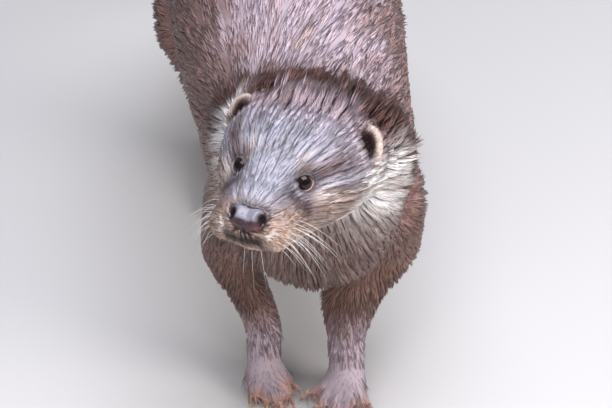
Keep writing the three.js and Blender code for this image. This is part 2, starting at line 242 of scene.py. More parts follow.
def flatOn(vectors, normals):
    # What is left of vectors along the surface with those normals.
    return vectors - normals * (vectors * normals).sum(1)[:, None]


def vertexNormals(places, corners):
    a, b, c = (places[corners[:, k]] for k in range(3))
    faceNormals = np.cross(b - a, c - a)
    normals = np.zeros_like(places)
    for k in range(3):
        for axis in range(3):
            normals[:, axis] += np.bincount(corners[:, k], faceNormals[:, axis], len(places))
    return unit(normals)


def evened(values, edges, rounds, weight=1.0):
    # Moves each value towards the mean of its neighbours, half the way in each round.
    values = np.array(values, float)
    flat = values.ndim == 1
    if flat:
        values = values[:, None]
    n = len(values)
    degree = np.maximum(np.bincount(edges.ravel(), minlength=n), 1)[:, None]
    pull = 0.5 * (weight[:, None] if np.ndim(weight) else weight)
    for _ in range(rounds):
        total = np.empty_like(values)
        for k in range(values.shape[1]):
            total[:, k] = np.bincount(edges[:, 0], values[edges[:, 1], k], n)
            total[:, k] += np.bincount(edges[:, 1], values[edges[:, 0], k], n)
        values += (total / degree - values) * pull
    return values[:, 0] if flat else values


def placeTree(places):
    tree = KDTree(len(places))
    for i, p in enumerate(places):
        tree.insert(p, i)
    tree.balance()
    return tree


def setColours(mesh, colours):
    layer = mesh.color_attributes.new("coatColour", "FLOAT_COLOR", "POINT")
    rgba = np.ones((len(colours), 4), np.float32)
    rgba[:, :3] = colours
    layer.data.foreach_set("color", rgba.ravel())


# The whole body as one shape, from the flesh nodes.
skinShape = {
    "grow": 0.00035,  # closes the thin cuts between neighbours
    "voxel": 0.0016,
    "guideVoxel": 0.0045,
    "keptShare": 0.42,  # of the triangles away from the head and feet
    "underHead": 0.5,  # tone of the skin between the tufts, against the tufts' own: darker undercoat and painted shade deep in the coat
    "underBody": 0.8,
    "coatStart": (0, -47, -12),  # head-local; the coat lies away from here
    "nearLocks": 14,  # locks that a tuft can choose from
    "bareBelow": 0.0025,
    "floorLimit": 0.001,  # tufts under this lie flat on the floor
    "floorFade": 0.003,
    "patchHalf": 0.0015,  # of a tuft's place in the unwrap
}
fleshNodes = [n for n in sorted(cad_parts) if "claw" not in n and n[:4] not in ("eye_", "nose")]
solidNodes = fleshNodes + ["nose", "eye_left", "eye_right"]


def weldedNode(name):
    places, corners = meshArrays(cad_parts[name].data)
    keys = np.round(places * 1e6).astype(np.int64)
    _, first, place = np.unique(keys, axis=0, return_index=True, return_inverse=True)
    return places[first], place.ravel()[corners]


def joinedSolids(names, grow):
    allPlaces, allCorners, labels, start = [], [], [], 0
    for index, name in enumerate(names):
        places, corners = weldedNode(name)
        allPlaces.append(places + vertexNormals(places, corners) * grow)
        allCorners.append(corners + start)
        labels.append(np.full(len(corners), index))
        start += len(places)
    return np.concatenate(allPlaces), np.concatenate(allCorners), np.concatenate(labels)


def applied(thing):
    # The mesh that an object's modifiers make; the object goes.
    depsgraph = bpy.context.evaluated_depsgraph_get()
    mesh = bpy.data.meshes.new_from_object(thing.evaluated_get(depsgraph))
    bpy.data.objects.remove(thing)
    return mesh


def remeshed(places, corners, voxel):
    thing = newObject("remeshSource", newMesh("remeshSource", places, corners))
    change = thing.modifiers.new("voxels", "REMESH")
    change.mode = "VOXEL"
    change.voxel_size = voxel
    return applied(thing)


solidPlaces, solidCorners, solidLabels = joinedSolids(solidNodes, skinShape["grow"])
solidTree = BVHTree.FromPolygons([tuple(p) for p in solidPlaces], [tuple(c) for c in solidCorners.tolist()])
wholeMesh = remeshed(solidPlaces, solidCorners, skinShape["voxel"])
wholePlaces, wholeCorners = meshArrays(wholeMesh)
wholeEdges = meshEdges(wholeMesh)
print("body shape:", len(wholePlaces), "points")


def coatGuide():
    mesh = remeshed(solidPlaces, solidCorners, skinShape["guideVoxel"])
    places, corners = meshArrays(mesh)
    edges = meshEdges(mesh)
    steps = [[] for _ in places]
    pairs = {tuple(sorted(e)) for e in edges.tolist()}
    for a, b, c in corners.tolist():
        pairs.update(tuple(sorted(e)) for e in ((a, b), (b, c), (c, a)))
    for quad in mesh.polygons:
        v = quad.vertices
        if len(v) == 4:
            pairs.update((tuple(sorted((v[0], v[2]))), tuple(sorted((v[1], v[3])))))
    pairs = np.array(sorted(pairs))
    spans = lengths(places[pairs[:, 0]] - places[pairs[:, 1]])
    for (a, b), span in zip(pairs.tolist(), spans.tolist()):
        steps[a].append((b, span))
        steps[b].append((a, span))
    tip = fromHead(skinShape["coatStart"])
    start = int(np.argmin(lengths(places - tip)))
    reach = [1e9] * len(places)
    reach[start] = 0
    queue = [(0, start)]
    while queue:
        far, here = heappop(queue)
        if far > reach[here]:
            continue
        for there, span in steps[here]:
            if far + span < reach[there]:
                reach[there] = far + span
                heappush(queue, (far + span, there))
    reach = np.array(reach)
    reach[reach > 1e8] = 0
    reach = evened(reach, pairs, 6)
    normals = vertexNormals(places, corners)
    rise = (reach[pairs[:, 1]] - reach[pairs[:, 0]]) / spans**2
    way = (places[pairs[:, 1]] - places[pairs[:, 0]]) * rise[:, None]
    lie = np.zeros_like(places)
    for axis in range(3):
        lie[:, axis] = np.bincount(pairs[:, 0], way[:, axis], len(places))
        lie[:, axis] += np.bincount(pairs[:, 1], way[:, axis], len(places))
    for _ in range(5):
        lie = evened(unit(flatOn(lie, normals)), pairs, 2)
    return unit(flatOn(lie, normals)), placeTree(places)


guideLie, guideTree = coatGuide()


def lieAt(places, normals):
    lie = np.zeros_like(places)
    for i, p in enumerate(places):
        for _, j, far in guideTree.find_n(p, 4):
            lie[i] += guideLie[j] / (far + 0.001)
    return unit(flatOn(lie, normals))


print("lie of the coat found")

earPlan = {
    "middle": (43.4, 55.6, 3.4),
    "turn": (-25, -10, 14),
    "cup": (-1.9, -4.8, 0.0),
    "cupHalf": (6.1, 5.4, 10.1),
    "reach": 18,  # mm, from the middle
    "hollowShare": 0.25,  # tufts left inside the cup
}

# Coat on each part, mm and degrees: tuft length, tuft width, depth of coat over the skin, lift.
coatByPart = {
    "head": (9.0, 0.78, 1.1, 5),
    "lower_jaw": (5.0, 0.7, 0.9, 8),
    "ear": (3.0, 0.5, 0.4, 12),
    "neck": (14, 1.15, 3.4, 12),
    "trunk": (22, 1.95, 2.7, 6),
    "tail_base": (16, 1.7, 2.6, 8),
    "tail_middle": (14, 1.6, 2.1, 7),
    "tail_tip": (12, 1.4, 1.6, 6),
    "upper_arm": (13, 1.9, 2.3, 9),
    "forearm": (10, 1.6, 1.4, 8),
    "thigh": (16, 2.0, 2.7, 8),
    "shank": (11, 1.7, 1.7, 8),
    "forefoot": (3.4, 0.75, 0.25, 6),
    "hindfoot": (3.4, 0.75, 0.25, 6),
    "nose": (2.6, 0.5, 0.8, 8),
    "eye": (2.6, 0.5, 1.0, 6),
}

# Coat at places on the head and neck, laid over that of the part in this order; the same four values.
coatByPlace = {
    "throat": (10, 1.1, 2.8, 8),
    "crown": (11.5, 0.85, 1.6, 9),
    "cheek": (9.5, 0.85, 1.5, 10),
    "brow": (4.2, 0.5, 1.0, 5),
    "muzzle": (4.6, 0.58, 0.8, 16),
    "nape": (18, 1.2, 3.4, 27),
    "nearEar": (6, 0.7, 1.0, 6),
    "onEar": (2.2, 0.5, 0.25, 9),
}
headNames = ("head", "lower_jaw", "nose", "eye")


def partOf(name):
    return name.replace("_left", "").replace("_right", "")


def partIndices(names):
    return [partNames.index(n) for n in names]


partNames = sorted({partOf(n) for n in solidNodes})
nodePart = np.array([partNames.index(partOf(n)) for n in solidNodes])


def labelsAt(places):
    found = np.array([solidTree.find_nearest(p)[2] for p in places])
    return nodePart[solidLabels[found]]


wholeParts = labelsAt(wholePlaces)
coatTable = np.array([coatByPart[n] for n in partNames])


def bodyCoat(places, parts, edges, rounds):
    coat = evened(coatTable[parts], edges, rounds)
    h = toHead(places)
    back, rise = h[:, 1], h[:, 2]
    onHead = evened(np.isin(parts, partIndices(headNames)) * 1.0, edges, rounds)
    offEar = lengths((mirrored(h) - np.array(earPlan["middle"])) / (1, 1, 1.3))
    behindEars = ramp(back - 0.2 * np.abs(rise), 34, 52) * (1 - ramp(back, 96, 130))
    amounts = {
        "throat": ramp(-rise, 38, 75) * ramp(back, 20, 40) * (1 - ramp(back, 120, 150)),
        "crown": onHead * ramp(back, 24, 44),
        "cheek": onHead * ramp(back, -4, 10) * ramp(-rise, -2, 8),
        "brow": onHead * spot(mirrored(h), (21, 1, 0), (13, 13, 13)),
        "muzzle": onHead * (1 - ramp(back - 0.5 * rise, -18, 4)) * ramp(0.1 * np.abs(h[:, 0]) - rise, 4, 12),
        "nape": ramp(offEar, 14, 24) * behindEars * ramp(rise, -70, -20),
        "nearEar": onHead * (1 - ramp(offEar, 14, 22)),
        "onEar": evened((parts == partNames.index("ear")) * 1.0, edges, 3),
    }
    for name, look in coatByPlace.items():
        coat = blend(coat, np.array(look), amounts[name][:, None])
    return coat


wholeCoat = bodyCoat(wholePlaces, wholeParts, wholeEdges, 14)
# How far each part is evened: corners between the parts go, and the general form is put back after it.
evenedShare = {
    "trunk": 1.0, "neck": 1.0, "upper_arm": 1.0, "thigh": 1.0, "forearm": 0.9, "shank": 0.9,
    "tail_base": 0.8, "tail_middle": 0.7, "tail_tip": 0.6, "head": 0.35, "lower_jaw": 0.35, "nose": 0.3,
    "eye": 0.2, "forefoot": 0.16, "hindfoot": 0.16, "ear": 0.12,
}
smoothWeight = evened(np.array([evenedShare[n] for n in partNames])[wholeParts], wholeEdges, 10)
wholeBack = toHead(wholePlaces)[:, 1]
offEar = lengths(mirrored(toHead(wholePlaces)) - np.array(earPlan["middle"]))
napeFill = ramp(wholeBack, 34, 46) * (1 - ramp(wholeBack, 84, 104)) * ramp(offEar, 15, 22)
smoothWeight = np.maximum(smoothWeight, evened(napeFill, wholeEdges, 3))
skinPlaces = evened(wholePlaces, wholeEdges, 90, smoothWeight)
skinNormals = vertexNormals(skinPlaces, wholeCorners)
lost = evened(((wholePlaces - skinPlaces) * skinNormals).sum(1), wholeEdges, 50)
skinPlaces = skinPlaces + skinNormals * (lost - wholeCoat[:, 2] / 1000)[:, None]
skinPlaces = evened(skinPlaces, wholeEdges, 6, smoothWeight)
print("skin drawn in under the coat")


def thinned(places, corners, keep):
    # Fewer triangles where the coat is long; head, ears and feet keep all of theirs.
    thing = newObject("thinSource", newMesh("thinSource", places, corners))
    group = thing.vertex_groups.new(name="plain")
    for step in range(1, 11):
        members = np.nonzero(np.ceil((1 - keep) * 10) == step)[0]
        if len(members):
            group.add(members.tolist(), step / 10, "REPLACE")
    change = thing.modifiers.new("thin", "DECIMATE")
    change.ratio = skinShape["keptShare"]
    change.vertex_group = "plain"
    change.vertex_group_factor = 10
    return applied(thing)


detailParts = partIndices((*headNames, "ear", "forefoot", "hindfoot"))
detail = evened(np.isin(wholeParts, detailParts) * 1.0, wholeEdges, 6)
skinMesh = thinned(skinPlaces, wholeCorners, detail)
skinPlaces, skinCorners = meshArrays(skinMesh)
skinEdges = meshEdges(skinMesh)
skinParts = labelsAt(skinPlaces)
print("skin:", len(skinCorners), "triangles")

# Markings, shared by skin and coat.
coatColours = {
    "back": (150, 122, 120),
    # painted sheen: the overhead light reflected in wet fur on the top of the back
    "backSheen": (208, 192, 204),
    "flank": (138, 106, 100),
    "belly": (160, 144, 136),
    "leg": (128, 98, 90),
    "tail": (128, 96, 90),
    "footBack": (190, 174, 184),
    "toe": (226, 172, 152),
    "ruff": (96, 68, 62),
    # nape, crown, forehead and bridge: fur colours lightened to lavender-grey with painted sheen of wet fur
    "nape": (164, 145, 153),
    "crown": (197, 187, 201),
    "forehead": (170, 168, 181),
    "bridge": (178, 177, 190),
    "muzzle": (196, 171, 161),
    "lip": (216, 190, 172),
    "noseSide": (236, 230, 234),
    # dark lips with painted shade in the mouth crease
    "mouth": (32, 20, 19),
    "underEye": (62, 48, 54),
    "behindEye": (100, 80, 80),
    "temple": (164, 152, 160),
    "eyeSkin": (66, 50, 52),
    "browTuft": (160, 134, 122),
    "browPale": (212, 198, 196),
    "cheek": (154, 135, 128),
    "creamStreak": (232, 218, 210),
    "paleBand": (244, 240, 240),
    "neckSide": (186, 172, 168),
    # brown fur darkened with painted shade under the head
    "throat": (204, 190, 182),
    "chest": (126, 102, 96),
    "earRim": (240, 220, 210),
    "earHollow": (70, 50, 48),
    "earBack": (150, 126, 120),
}

# Marks on the head in mm, mirrored: colour, ends of a line or middle of a spot, reach, strength, and how
# far the mark would pass full strength if it were not cut off there.
headMarks = {
    "face": (
        ("temple", ((29, 14, 4), (41, 42, 5)), 9, 0.85, 1),
        # bridge: fur colour with painted sheen on the upward-facing top of the muzzle
        ("bridge", ((0, -26, 2),), (14, 16, 12), 1, 1),
        ("browPale", ((14, 4, 8), (17, 12, 9)), 3.2, 0.8, 1),
        ("browTuft", ((18, 1.5, 6), (22, 7, 7.5)), 2.6, 0.9, 1),
        ("behindEye", ((27, 8, 2), (34, 22, 4)), 4.6, 0.9, 1),
        ("behindEye", ((13, -8, 3.5), (17.5, -5, -1)), 2.6, 0.75, 1),
        ("creamStreak", ((27, 2, -8), (40, 14, -12)), 3.6, 0.8, 1),
        ("underEye", ((16, -19, -2), (25, -12, -12)), 5.2, 1, 1),
        ("underEye", ((24, -12, -13), (30, -2, -20)), 4.0, 0.55, 1),
    ),
    "muzzle": (("muzzle", ((17, -33, -19),), (13, 15, 11), 1, 1.5),),
    "noseSide": (("noseSide", ((12.6, -39, -17.0),), (3.0, 5, 3.4), 1, 1),),
    # dark lips with painted shade in the mouth crease under the nose and along the jaw
    "mouth": (
        ("mouth", ((0, -45.5, -18.6), (9, -43.2, -20.8)), 2.7, 1, 1.4),
        ("mouth", ((9, -42, -27), (18, -36, -30)), 2.4, 0.8, 1),
    ),
}
clawPlaces = [np.array(sum(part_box(n), Vector())) / 2 for n in sorted(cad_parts) if "claw" in n]


def earPlace(h):
    # Both ears fold onto the left one; x runs across the ear, y through it to the back, z up.
    pitch, roll, yaw = (math.radians(v) for v in earPlan["turn"])
    spin = Matrix.Rotation(yaw, 3, "Z") @ Matrix.Rotation(roll, 3, "Y") @ Matrix.Rotation(pitch, 3, "X")
    return (mirrored(h) - np.array(earPlan["middle"])) @ np.array(spin)


def earDepth(h):
    # Under 1 inside the cup of the ear, 1 on its wall.
    off = (earPlace(h) - np.array(earPlan["cup"])) / np.array(earPlan["cupHalf"])
    return lengths(off)


def markings(places, parts, normals):
    colour = {name: linear(value) for name, value in coatColours.items()}
    h = toHead(places)
    hm = mirrored(h)
    ax, back, rise = hm[:, 0], h[:, 1], h[:, 2]
    y, height = places[:, 1], places[:, 2]
    isPart = {n: parts == i for i, n in enumerate(partNames)}
    base = np.tile(colour["flank"], (len(places), 1))

    def mix(name, amount):
        base[:] = blend(base, colour[name], np.clip(amount, 0, 1)[:, None])

    def layMarks(group):
        for name, ends, reach, strength, over in headMarks[group]:
            if len(ends) == 2:
                shape = np.exp(-((nearLine(hm, *ends) / reach) ** 2))
            else:
                shape = spot(hm, ends[0], reach)
            mix(name, onHead * np.clip(shape * over, 0, 1) * strength)

    # Upward-facing fur is painted paler: the back colour is the fur's brown lightened a little on top, and
    # the back sheen over it is painted sheen of the overhead light in wet fur.
    mix("back", ramp(normals[:, 2], 0.0, 0.6))
    mix("backSheen", ramp(normals[:, 2] + 0.15 * wander(places, 0.05, 3), 0.55, 1.0) * 0.75)
    mix("belly", ramp(-normals[:, 2], 0.2, 0.9) * (1 - ramp(height, 0.10, 0.16)) * ramp(y, -0.35, -0.28))
    mix("tail", ramp(y, 0.07, 0.16) * 0.8)
    for n in ("thigh", "shank"):
        mix("leg", isPart[n] * (1 - ramp(height, 0.06, 0.13)) * 0.9)
    # chest and neck, forward of the shoulders
    fore = 1 - ramp(back, 112, 150)
    side = np.clip(1 - ramp(back + 0.35 * rise + 5 * wander(places, 0.03, 5), 70, 92), 0, 1)
    low = ramp(-rise, -2, 16)
    neckish = ramp(back, 40, 62)
    mix("ruff", fore * neckish * ramp(rise, -75, -35))
    mix("neckSide", neckish * side * ramp(-rise, 8, 26))
    mix("paleBand", neckish * side * low * (1 - ramp(-rise, 46, 74)) * 0.95)
    # The chest below the head is painted dark brown: brown fur with painted shade under the head.
    mix("chest", fore * ramp(-rise + 4 * wander(places, 0.02, 15), 60, 100) * 0.9)
    for n in ("upper_arm", "forearm"):
        mix("leg", isPart[n] * (1 - ramp(height, 0.11, 0.16)) * 0.9)
    # head
    onHead = 1 - ramp(back - 0.25 * rise, 56, 74)
    # The top of the head is painted paler lavender-grey: the fur's own colour with painted sheen, the
    # overhead light reflected in wet fur.
    top = ramp(rise + 0.25 * ax - 4, -10, 2)
    mix("cheek", onHead * ramp(-rise, -12, 0))
    mix("nape", onHead * top)
    mix("crown", onHead * top * (1 - ramp(back + 3 * wander(places, 0.014, 9), 32, 50)))
    mix("forehead", onHead * top * (1 - ramp(back + 4 * wander(places, 0.012, 7), 16, 38)))
    layMarks("face")
    mix("paleBand", onHead * ramp(back - 0.3 * rise, 26, 46) * low)
    layMarks("muzzle")
    mix("lip", onHead * ramp(-rise, 24, 29) * (1 - ramp(back, -22, 4)) * 0.8)
    layMarks("noseSide")
    mix("throat", onHead * ramp(-rise, 30, 36) * 0.8)
    layMarks("mouth")
    mix("eyeSkin", onHead * np.clip(spot(hm, (20, 1, -1), (9, 9, 9)) * 1.5 - 0.1, 0, 1) * 0.85)
    # ears
    ear = isPart["ear"] * 1.0
    e = earPlace(h)
    mix("earBack", ear)
    mix("earRim", ear * (1 - ramp(e[:, 1], 1.5, 4)))
    mix("earHollow", (1 - ramp(earDepth(h), 0.96, 1.12)) * (lengths(e) < earPlan["reach"]))
    # feet
    foot = (isPart["forefoot"] | isPart["hindfoot"]) * 1.0
    lowLeg = 1 - ramp(height + 0.004 * wander(places, 0.02, 13), 0.034, 0.07)
    hind = ramp(y, -0.16, -0.12)
    mix("footBack", np.maximum(foot, (isPart["forearm"] | isPart["shank"]) * lowLeg) * (1 - 0.45 * hind))
    tips = np.min([lengths(places - tip) for tip in clawPlaces], axis=0)
    mix("toe", foot * (1 - ramp(tips, 0.006, 0.017)) * 0.85)
    return base


def tuftArrays(roots, normals, lies, size, lift, sway, ridge, rings):
    # size holds the length, width and thickness of each tuft in metres; each is a closed pointed shape.
    n = len(roots)
    sides = unit(np.cross(lies, normals))
    stations, swell = (([0.0], [1.0]), ([0.0, 0.42], [0.62, 1.0]))[rings - 1]
    length, width, thick = size[:, 0:1], size[:, 1:2], size[:, 2:3]
    rise = np.tan(lift)[:, None]
    out = np.empty((n, rings * 3 + 1, 3))

    def spine(t):
        ahead = length * t
        up = ahead * rise * (1 - 0.38 * t) - width * 0.25 + ridge[:, None] * min(t * 2.5, 1)
        return roots + lies * ahead + normals * up + sides * (sway[:, None] * t * t)

    for k, (t, w) in enumerate(zip(stations, swell)):
        middle = spine(t)
        out[:, 3 * k] = middle - sides * width * 0.5 * w
        out[:, 3 * k + 1] = middle + sides * width * 0.5 * w
        out[:, 3 * k + 2] = middle + normals * thick * w
    out[:, -1] = spine(1.0)
    faces = [(0, 1, 2)]
    for k in range(rings - 1):
        a = 3 * k
        for i, j in ((0, 1), (1, 2), (2, 0)):
            faces += [(a + i, a + 3 + i, a + 3 + j), (a + i, a + 3 + j, a + j)]
    a, tip = 3 * (rings - 1), 3 * rings
    faces += [(a, tip, a + 1), (a + 1, tip, a + 2), (a + 2, tip, a)]
    faces = np.array(faces)
    allFaces = (faces[None] + (np.arange(n) * (rings * 3 + 1))[:, None, None]).reshape(-1, 3)
    steps = np.array([s for s in stations for _ in range(3)] + [1.0])
    return out.reshape(-1, 3), allFaces, steps


def skinRoots(count, weights, rng):
    # Even spread over the skin's triangles, in proportion to weight times area.
    a, b, c = (skinPlaces[skinCorners[:, k]] for k in range(3))
    area = lengths(np.cross(b - a, c - a)) / 2
    share = np.cumsum(area * weights)
    picks = np.searchsorted(share, (np.arange(count) + rng.uniform(size=count)) / count * share[-1])
    picks = np.clip(picks, 0, len(skinCorners) - 1)
    u, v = rng.uniform(size=count), rng.uniform(size=count)
    over = u + v > 1
    u[over], v[over] = 1 - u[over], 1 - v[over]
    return picks, np.column_stack([1 - u - v, u, v])


def atRoots(values, picks, shares):
    return (values[skinCorners[picks]] * shares[:, :, None]).sum(1)


# Finer skin round the eyes, then the lids.
eyePlan = {
    "centre": (20.0, 2.0, -1.2),  # head-local, mm, animal's left
    "ball": 6.1,
    "facing": (0.50, -0.76, 0.40),
    "opening": (54, 49),  # half angles of the gap between the lids, along and across it, degrees
    "slant": 12,  # the inner corner sits lower, degrees
    "lid": 0.75,
    "sunk": 0.8,  # how far behind the ball's face the skin of the socket lies, mm
    "finer": (12.5, 9.5),  # reaches within which the skin's triangles are divided, mm
    "softened": 13,  # reach of the evening before the lids are laid on, mm
    "held": 11,
    "bare": (10, 1.16, 0.6),  # no tufts: reach in mm, edges out from the gap, and more at the inner corner
}
nosePlan = {
    "centre": (0.6, -39.0, -11.5),
    "half": (11.8, 7.5, 9.0),
    "lean": -8,
    "squareness": 3.4,  # of the upper corners; 2 is round
    "taper": 0.46,  # how much narrower the pad is at the lip
    "sunk": 7,  # how far the skin is drawn in behind the pad, mm
    "skinFrom": -36,  # mm; the skin behind this stays
    "bare": (0.93, 0.99),
}


def padOutline(x, z):
    # Reach of the pad's outline over a plain ellipse, and its narrowing, at x and z in half widths.
    flat = np.maximum(np.hypot(x, z), 1e-6)
    power = np.where(z > 0, nosePlan["squareness"], 2.0)
    corner = np.maximum(np.abs(x / flat) ** power + np.abs(z / flat) ** power, 0.1) ** (-1 / power)
    return corner, 1 - nosePlan["taper"] * ramp(-z, 0.0, 1.0)


def eyeCentre(side):
    return np.array(eyePlan["centre"]) * (side, 1, 1)


def eyeAxes(side):
    facing = unit(np.array(eyePlan["facing"]) * (side, 1, 1))
    along = unit(np.cross(facing, (0, 0, 1.0))) * -side  # towards the outer corner
    across = np.cross(facing, along) * -side
    across = across * np.sign(across[2])
    turn = math.radians(eyePlan["slant"])
    c, s = math.cos(turn), math.sin(turn)
    return facing, along * c + across * s, across * c - along * s


def lidEdge(a, b):
    # Angle from the ball's axis to the lid's edge on the way a, b; its corners are slightly drawn out.
    long, tall = eyePlan["opening"]
    return (1 + 0.10 * np.abs(a) ** 6) / np.hypot(a / long, b / tall)


def eyeAngles(h, side):
    # Distance from the ball's middle, and how far out of the lid opening a point lies (1 on its edge).
    facing, along, across = eyeAxes(side)
    off = h - eyeCentre(side)
    far = lengths(off)
    way = off / np.maximum(far, 1e-6)[:, None]
    angle = np.degrees(np.arccos(np.clip(way @ facing, -1, 1)))
    a, b = way @ along, way @ across
    flat = np.maximum(np.hypot(a, b), 1e-6)
    a, b = a / flat, b / flat
    return far, way, angle / lidEdge(a, b), a, b


def refineRoundEyes(mesh):
    shape = bmesh.new()
    shape.from_mesh(mesh)
    for reach in eyePlan["finer"]:
        off = mirrored(toHead([v.co for v in shape.verts])) - eyeCentre(1)
        inside = lengths(off) < reach
        shape.verts.ensure_lookup_table()
        edges = [e for e in shape.edges if inside[e.verts[0].index] and inside[e.verts[1].index]]
        bmesh.ops.subdivide_edges(shape, edges=edges, cuts=1, use_grid_fill=True)
        bmesh.ops.triangulate(shape, faces=[f for f in shape.faces if len(f.verts) > 3])
        shape.verts.index_update()
    shape.to_mesh(mesh)
    shape.free()


refineRoundEyes(skinMesh)
skinPlaces, skinCorners = meshArrays(skinMesh)
skinEdges = meshEdges(skinMesh)
skinHead = toHead(skinPlaces)
for side in (-1, 1):
    near = lengths(skinHead - eyeCentre(side)) < eyePlan["softened"]
    smooth = evened(skinHead, skinEdges, 6, near * 1.0)
    far, way, out, a, b = eyeAngles(smooth, side)
    ball, lid, sunk = eyePlan["ball"], eyePlan["lid"], eyePlan["sunk"]
    level = np.where(out < 0.94, ball - sunk, ball - sunk + (lid + sunk) * ramp(out, 0.94, 1.06))
    level = np.where(out > 1.06, ball + lid - 0.25 * ramp(out, 1.06, 1.3), level)
    hold = near * (1 - ramp(out, 1.15, 1.75)) * (far < eyePlan["held"])
    target = eyeCentre(side) + way * np.where(out < 1.1, level, np.maximum(level, far))[:, None]
    skinHead = blend(skinHead, blend(smooth, target, hold[:, None]), near[:, None])
noseOff = (skinHead - np.array(nosePlan["centre"])) / np.array(nosePlan["half"])
corner, narrow = padOutline(noseOff[:, 0], noseOff[:, 2])
noseOff[:, 0] /= narrow
noseFar = lengths(noseOff / np.column_stack([corner, np.ones(len(corner)), corner]))
skinHead[:, 1] += nosePlan["sunk"] * (1 - ramp(noseFar, 0.86, 1.0)) * (skinHead[:, 1] < nosePlan["skinFrom"])
skinPlaces = fromHead(skinHead)
skinParts = labelsAt(skinPlaces)
skinNormals = vertexNormals(skinPlaces, skinCorners)
skinCoat = bodyCoat(skinPlaces, skinParts, skinEdges, 8)
skinLie = lieAt(skinPlaces, skinNormals)
skinPaint = markings(skinPlaces + skinNormals * skinCoat[:, 2:3] / 1000, skinParts, skinNormals)
skinPaint = evened(skinPaint, skinEdges, 2)
print("skin with lids:", len(skinCorners), "triangles")

# Places without tufts.
bareReach, bareEdge, bareCorner = eyePlan["bare"]
eyeSides = [eyeAngles(skinHead, s)[2:4] for s in (1, -1)]
eyeOut = np.where(skinHead[:, 0] > 0, *(out - bareCorner * np.clip(-a, 0, 1) for out, a in eyeSides))
eyeFar = lengths(mirrored(skinHead) - eyeCentre(1))
bare = np.where((eyeFar < bareReach) & (eyeOut < bareEdge), 0.0, 1.0)
bare *= ramp(noseFar, *nosePlan["bare"])
bare *= np.where(skinPlaces[:, 2] < skinShape["bareBelow"], 0.0, 1.0)
nearEar = lengths(earPlace(skinHead)) < earPlan["reach"]
bare *= np.where(nearEar, blend(earPlan["hollowShare"], 1, ramp(earDepth(skinHead), 0.98, 1.12)), 1.0)
print("bare places marked")

# Wet hair stands in locks: long narrow groups of tufts that lean together and rise a little in the middle.
coatUsual = {
    "rings": 2,  # cross-sections in each tuft
    "lock": 12,  # tufts in a lock
    "stretch": 3.2,  # how much longer than wide a lock is
    "rootPull": 0.3,  # how far roots and tips gather to the middle of their lock
    "tipPull": 0.6,
    "ridge": 0.25,  # mm that the middle of a lock rises
    "wave": 0.0,
    "stray": 3.0,  # degrees
    "tuftTone": 0.09,
    "lockTone": 0.10,
    "warmth": 0.03,
    "rootShade": 0.72,
    "tipShade": 1.06,
    "edgeShade": 0.22,  # darker at the sides of a lock
    "liftVary": 0.12,  # between locks
    "underSoft": 0.0,  # how much flatter the locks are below the head
    "lengthSpread": (0.75, 1.2),  # of single tufts
    "widthSpread": (0.75, 1.25),
    "liftSpread": (0.8, 1.15),
    "thickness": 0.34,  # against the width
    "shiftLimit": 0.1,  # how far roots and tips can move aside, in tuft lengths
    "swayLimit": 0.35,
}
sleek = {"lock": 26, "stretch": 4, "tipPull": 0.7, "ridge": 0.6, "tuftTone": 0.05, "lockTone": 0.06,
         "rootShade": 0.9, "tipShade": 1.03, "edgeShade": 0.2}
coatPlan = {
    "coatMuzzle": {"tufts": 13500, "lock": 5, "stretch": 2.5, "rootPull": 0.2, "ridge": 0.1, "stray": 6,
                   "tuftTone": 0.38, "lockTone": 0.3, "warmth": 0.12, "rootShade": 0.3, "tipShade": 1.5,
                   "edgeShade": 0.3},
    "coatFace": {"tufts": 18500, "lock": 55, "stretch": 5.5, "rootPull": 0.15, "tipPull": 0.8, "ridge": 0.3,
                 "wave": 0.02, "stray": 1.8, "tuftTone": 0.06, "rootShade": 0.84, "edgeShade": 0.5},
    "coatCrown": {"tufts": 19000, "lock": 95, "stretch": 4.5, "rootPull": 0.22, "tipPull": 0.85, "ridge": 1.1,
                  "wave": 0.06, "stray": 2.5, "tuftTone": 0.06, "lockTone": 0.14, "rootShade": 0.66,
                  "tipShade": 1.18, "edgeShade": 0.6},
    "coatCheeks": {"tufts": 19000, "lock": 80, "stretch": 4.5, "rootPull": 0.22, "tipPull": 0.85,
                   "ridge": 0.9, "wave": 0.06, "lockTone": 0.27, "warmth": 0.04, "rootShade": 0.7,
                   "tipShade": 1.14, "edgeShade": 0.6},
    "coatEars": {"tufts": 3500, "lock": 4, "stretch": 2, "tipPull": 0.4, "ridge": 0},
    "coatNeck": {"tufts": 19500, "lock": 42, "stretch": 4.5, "rootPull": 0.35, "tipPull": 0.9, "ridge": 3.2,
                 "wave": 0.05, "tuftTone": 0.07, "lockTone": 0.16, "rootShade": 0.8, "tipShade": 1.17,
                 "edgeShade": 0.5, "liftVary": 0.32, "underSoft": 0.75},
    "coatShoulders": {"tufts": 12000, **sleek},
    "coatBack": {"tufts": 11500, **sleek},
    "coatTail": {"tufts": 9500, "lock": 8, "rootShade": 0.8},
    "coatForelegs": {"tufts": 10000, "rootShade": 0.78},
    "coatHindLegs": {"tufts": 7500, "lock": 8, "rootShade": 0.8},
    "coatFeet": {"tufts": 15000, "rings": 1, "lock": 6, "stretch": 2, "ridge": 0, "tuftTone": 0.12,
                 "warmth": 0.05},
}
# The parts of the body that each piece of coat grows on.
coatParts = {
    "coatEars": ("ear",),
    "coatNeck": ("neck",),
    "coatShoulders": ("trunk",),
    "coatTail": ("tail_base", "tail_middle", "tail_tip"),
    "coatForelegs": ("upper_arm", "forearm"),
    "coatHindLegs": ("thigh", "shank"),
    "coatFeet": ("forefoot", "hindfoot"),
}


